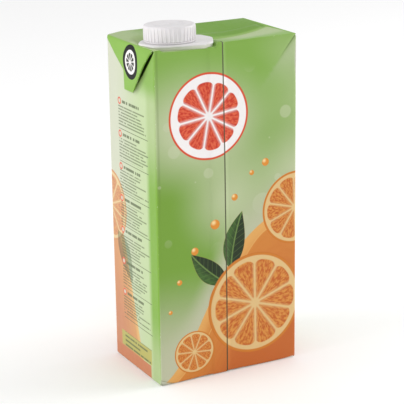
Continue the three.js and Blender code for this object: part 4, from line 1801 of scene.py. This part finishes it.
# %% [markdown]
# ## White plastic
# The closure is moulded from milky plastic. Light goes a little way into it, so it has some subsurface
# scattering, and the mould leaves a fine satin grain. The grain is one group, used by both pieces with
# their own values.

# %% Plastic
PLASTIC_BUMP = 0.04
FLOW_ROUGHNESS = 0.12
FLOW_TINT = (0.3, 0.7)
# Share of the skirt's painted tint: board showing through, painted shade and a painted green reflection.
SKIRT_SHOW_AND_REFLECTION_SHARE = 0.6
MILKINESS = {
    "Subsurface Weight": 0.15, "Subsurface Radius": (1.0, 0.9, 0.8), "Subsurface Scale": 0.6 * MM,
}


def moulded_skin_group():
    tree, n, given, give = new_group(
        "Moulded skin", {"Place": "place", "Grain": "value", "Base Roughness": "value"},
        {"Height": "value", "Roughness": "value", "Tint": "value"},
    )
    flow = n.noise(given["Place"], 0.12, 2.0)
    give("Height", n.noise(given["Place"], given["Grain"], 3.0))
    give("Roughness", n.plus(given["Base Roughness"], n.product(flow, FLOW_ROUGHNESS)))
    give("Tint", n.fade(flow, *FLOW_TINT))
    return tree


moulded_skin = moulded_skin_group()


def white_plastic(material, light, shade, grain, roughness):
    """Milky satin plastic between two close whites, painted greener and darker where the skirt is thin:
    partly the board showing through, partly painted shade and a painted green reflection of the board.
    """
    n = empty_tree(material)
    skin = n.group(moulded_skin, Place=n.place(), Grain=grain, Base_Roughness=roughness)
    white = n.mix(skin["Tint"], ink(shade), ink(light))
    # Painted shade and a painted green reflection on the skirt, together with the board showing through it.
    colour = n.mix(n.product(n.attribute(FOLD), SKIRT_SHOW_AND_REFLECTION_SHARE), white, FIELD_PALE)
    add_surface(material, n, skin, PLASTIC_BUMP, {"Base Color": colour, **MILKINESS})


spout_plastic = bpy.data.materials.new("spout_plastic")
white_plastic(cap_plastic, "#DFDBDD", "#D8D5D6", grain=3.0, roughness=0.32)
white_plastic(spout_plastic, "#E1DEDF", "#D9D7D7", grain=2.4, roughness=0.36)
cap.data.materials.append(cap_plastic)
spout.data.materials.append(spout_plastic)

# %% [markdown]
# ## Floor and light
# The photo is a plain studio shot: a white floor and soft light from all round.
# Two large soft boxes of about the same strength, one to each side, model the cap and the ear.
# Light comes from real lamps and the world, never from the materials.

# %% Studio
FLOOR_HALF = 4.0
FLOOR_WHITE = (0.985, 0.985, 0.985, 1.0)
FLOOR_ROUGHNESS = 0.9
WORLD_WHITE = (1.0, 1.0, 1.0, 1.0)
WORLD_STRENGTH = 0.85


def soft_box(name, place, target, size, power):
    data = bpy.data.lights.new(name, "AREA")
    data.shape = "DISK"
    data.size = size
    data.energy = power
    lamp = bpy.data.objects.new(name, data)
    lamp.location = place
    lamp.rotation_euler = (Vector(place) - Vector(target)).to_track_quat("Z", "Y").to_euler()
    bpy.context.scene.collection.objects.link(lamp)


pack_middle = (0.0, 0.0, HEIGHT / 2 * MM)
soft_box("left_box", (-1.5, 0.15, 0.5), pack_middle, size=1.1, power=10.0)
soft_box("right_box", (1.4, -0.3, 0.55), pack_middle, size=1.0, power=11.0)

world = bpy.data.worlds.new("studio")
bpy.context.scene.world = world
world.use_nodes = True
background = world.node_tree.nodes["Background"]
background.inputs["Color"].default_value = WORLD_WHITE
background.inputs["Strength"].default_value = WORLD_STRENGTH

floor_mesh = bpy.data.meshes.new("floor")
floor_corners = [(-FLOOR_HALF, -FLOOR_HALF, 0.0), (FLOOR_HALF, -FLOOR_HALF, 0.0),
                 (FLOOR_HALF, FLOOR_HALF, 0.0), (-FLOOR_HALF, FLOOR_HALF, 0.0)]
floor_mesh.from_pydata(floor_corners, [], [(0, 1, 2, 3)])
floor = new_object("floor", floor_mesh)
floor_paint = bpy.data.materials.new("floor_paint")
floor_paint.use_nodes = True
floor_surface = floor_paint.node_tree.nodes["Principled BSDF"]
floor_surface.inputs["Base Color"].default_value = FLOOR_WHITE
floor_surface.inputs["Roughness"].default_value = FLOOR_ROUGHNESS
floor_mesh.materials.append(floor_paint)

view = bpy.context.scene.view_settings
view.view_transform = "Standard"
view.look = "None"

# %% [markdown]
# ## Hand over
# Each finished piece is hung on the root body, and the solid it stands for is hidden.

# %% Pieces on the frame
for piece in (carton, left_ear, right_ear, top_fin, *base_folds):
    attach(piece, "root")
    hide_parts("carton")

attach(spout, "root")
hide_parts("spout_base")

for piece in (cap, ribs, bridges):
    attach(piece, "root")
    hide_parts("screw_cap")
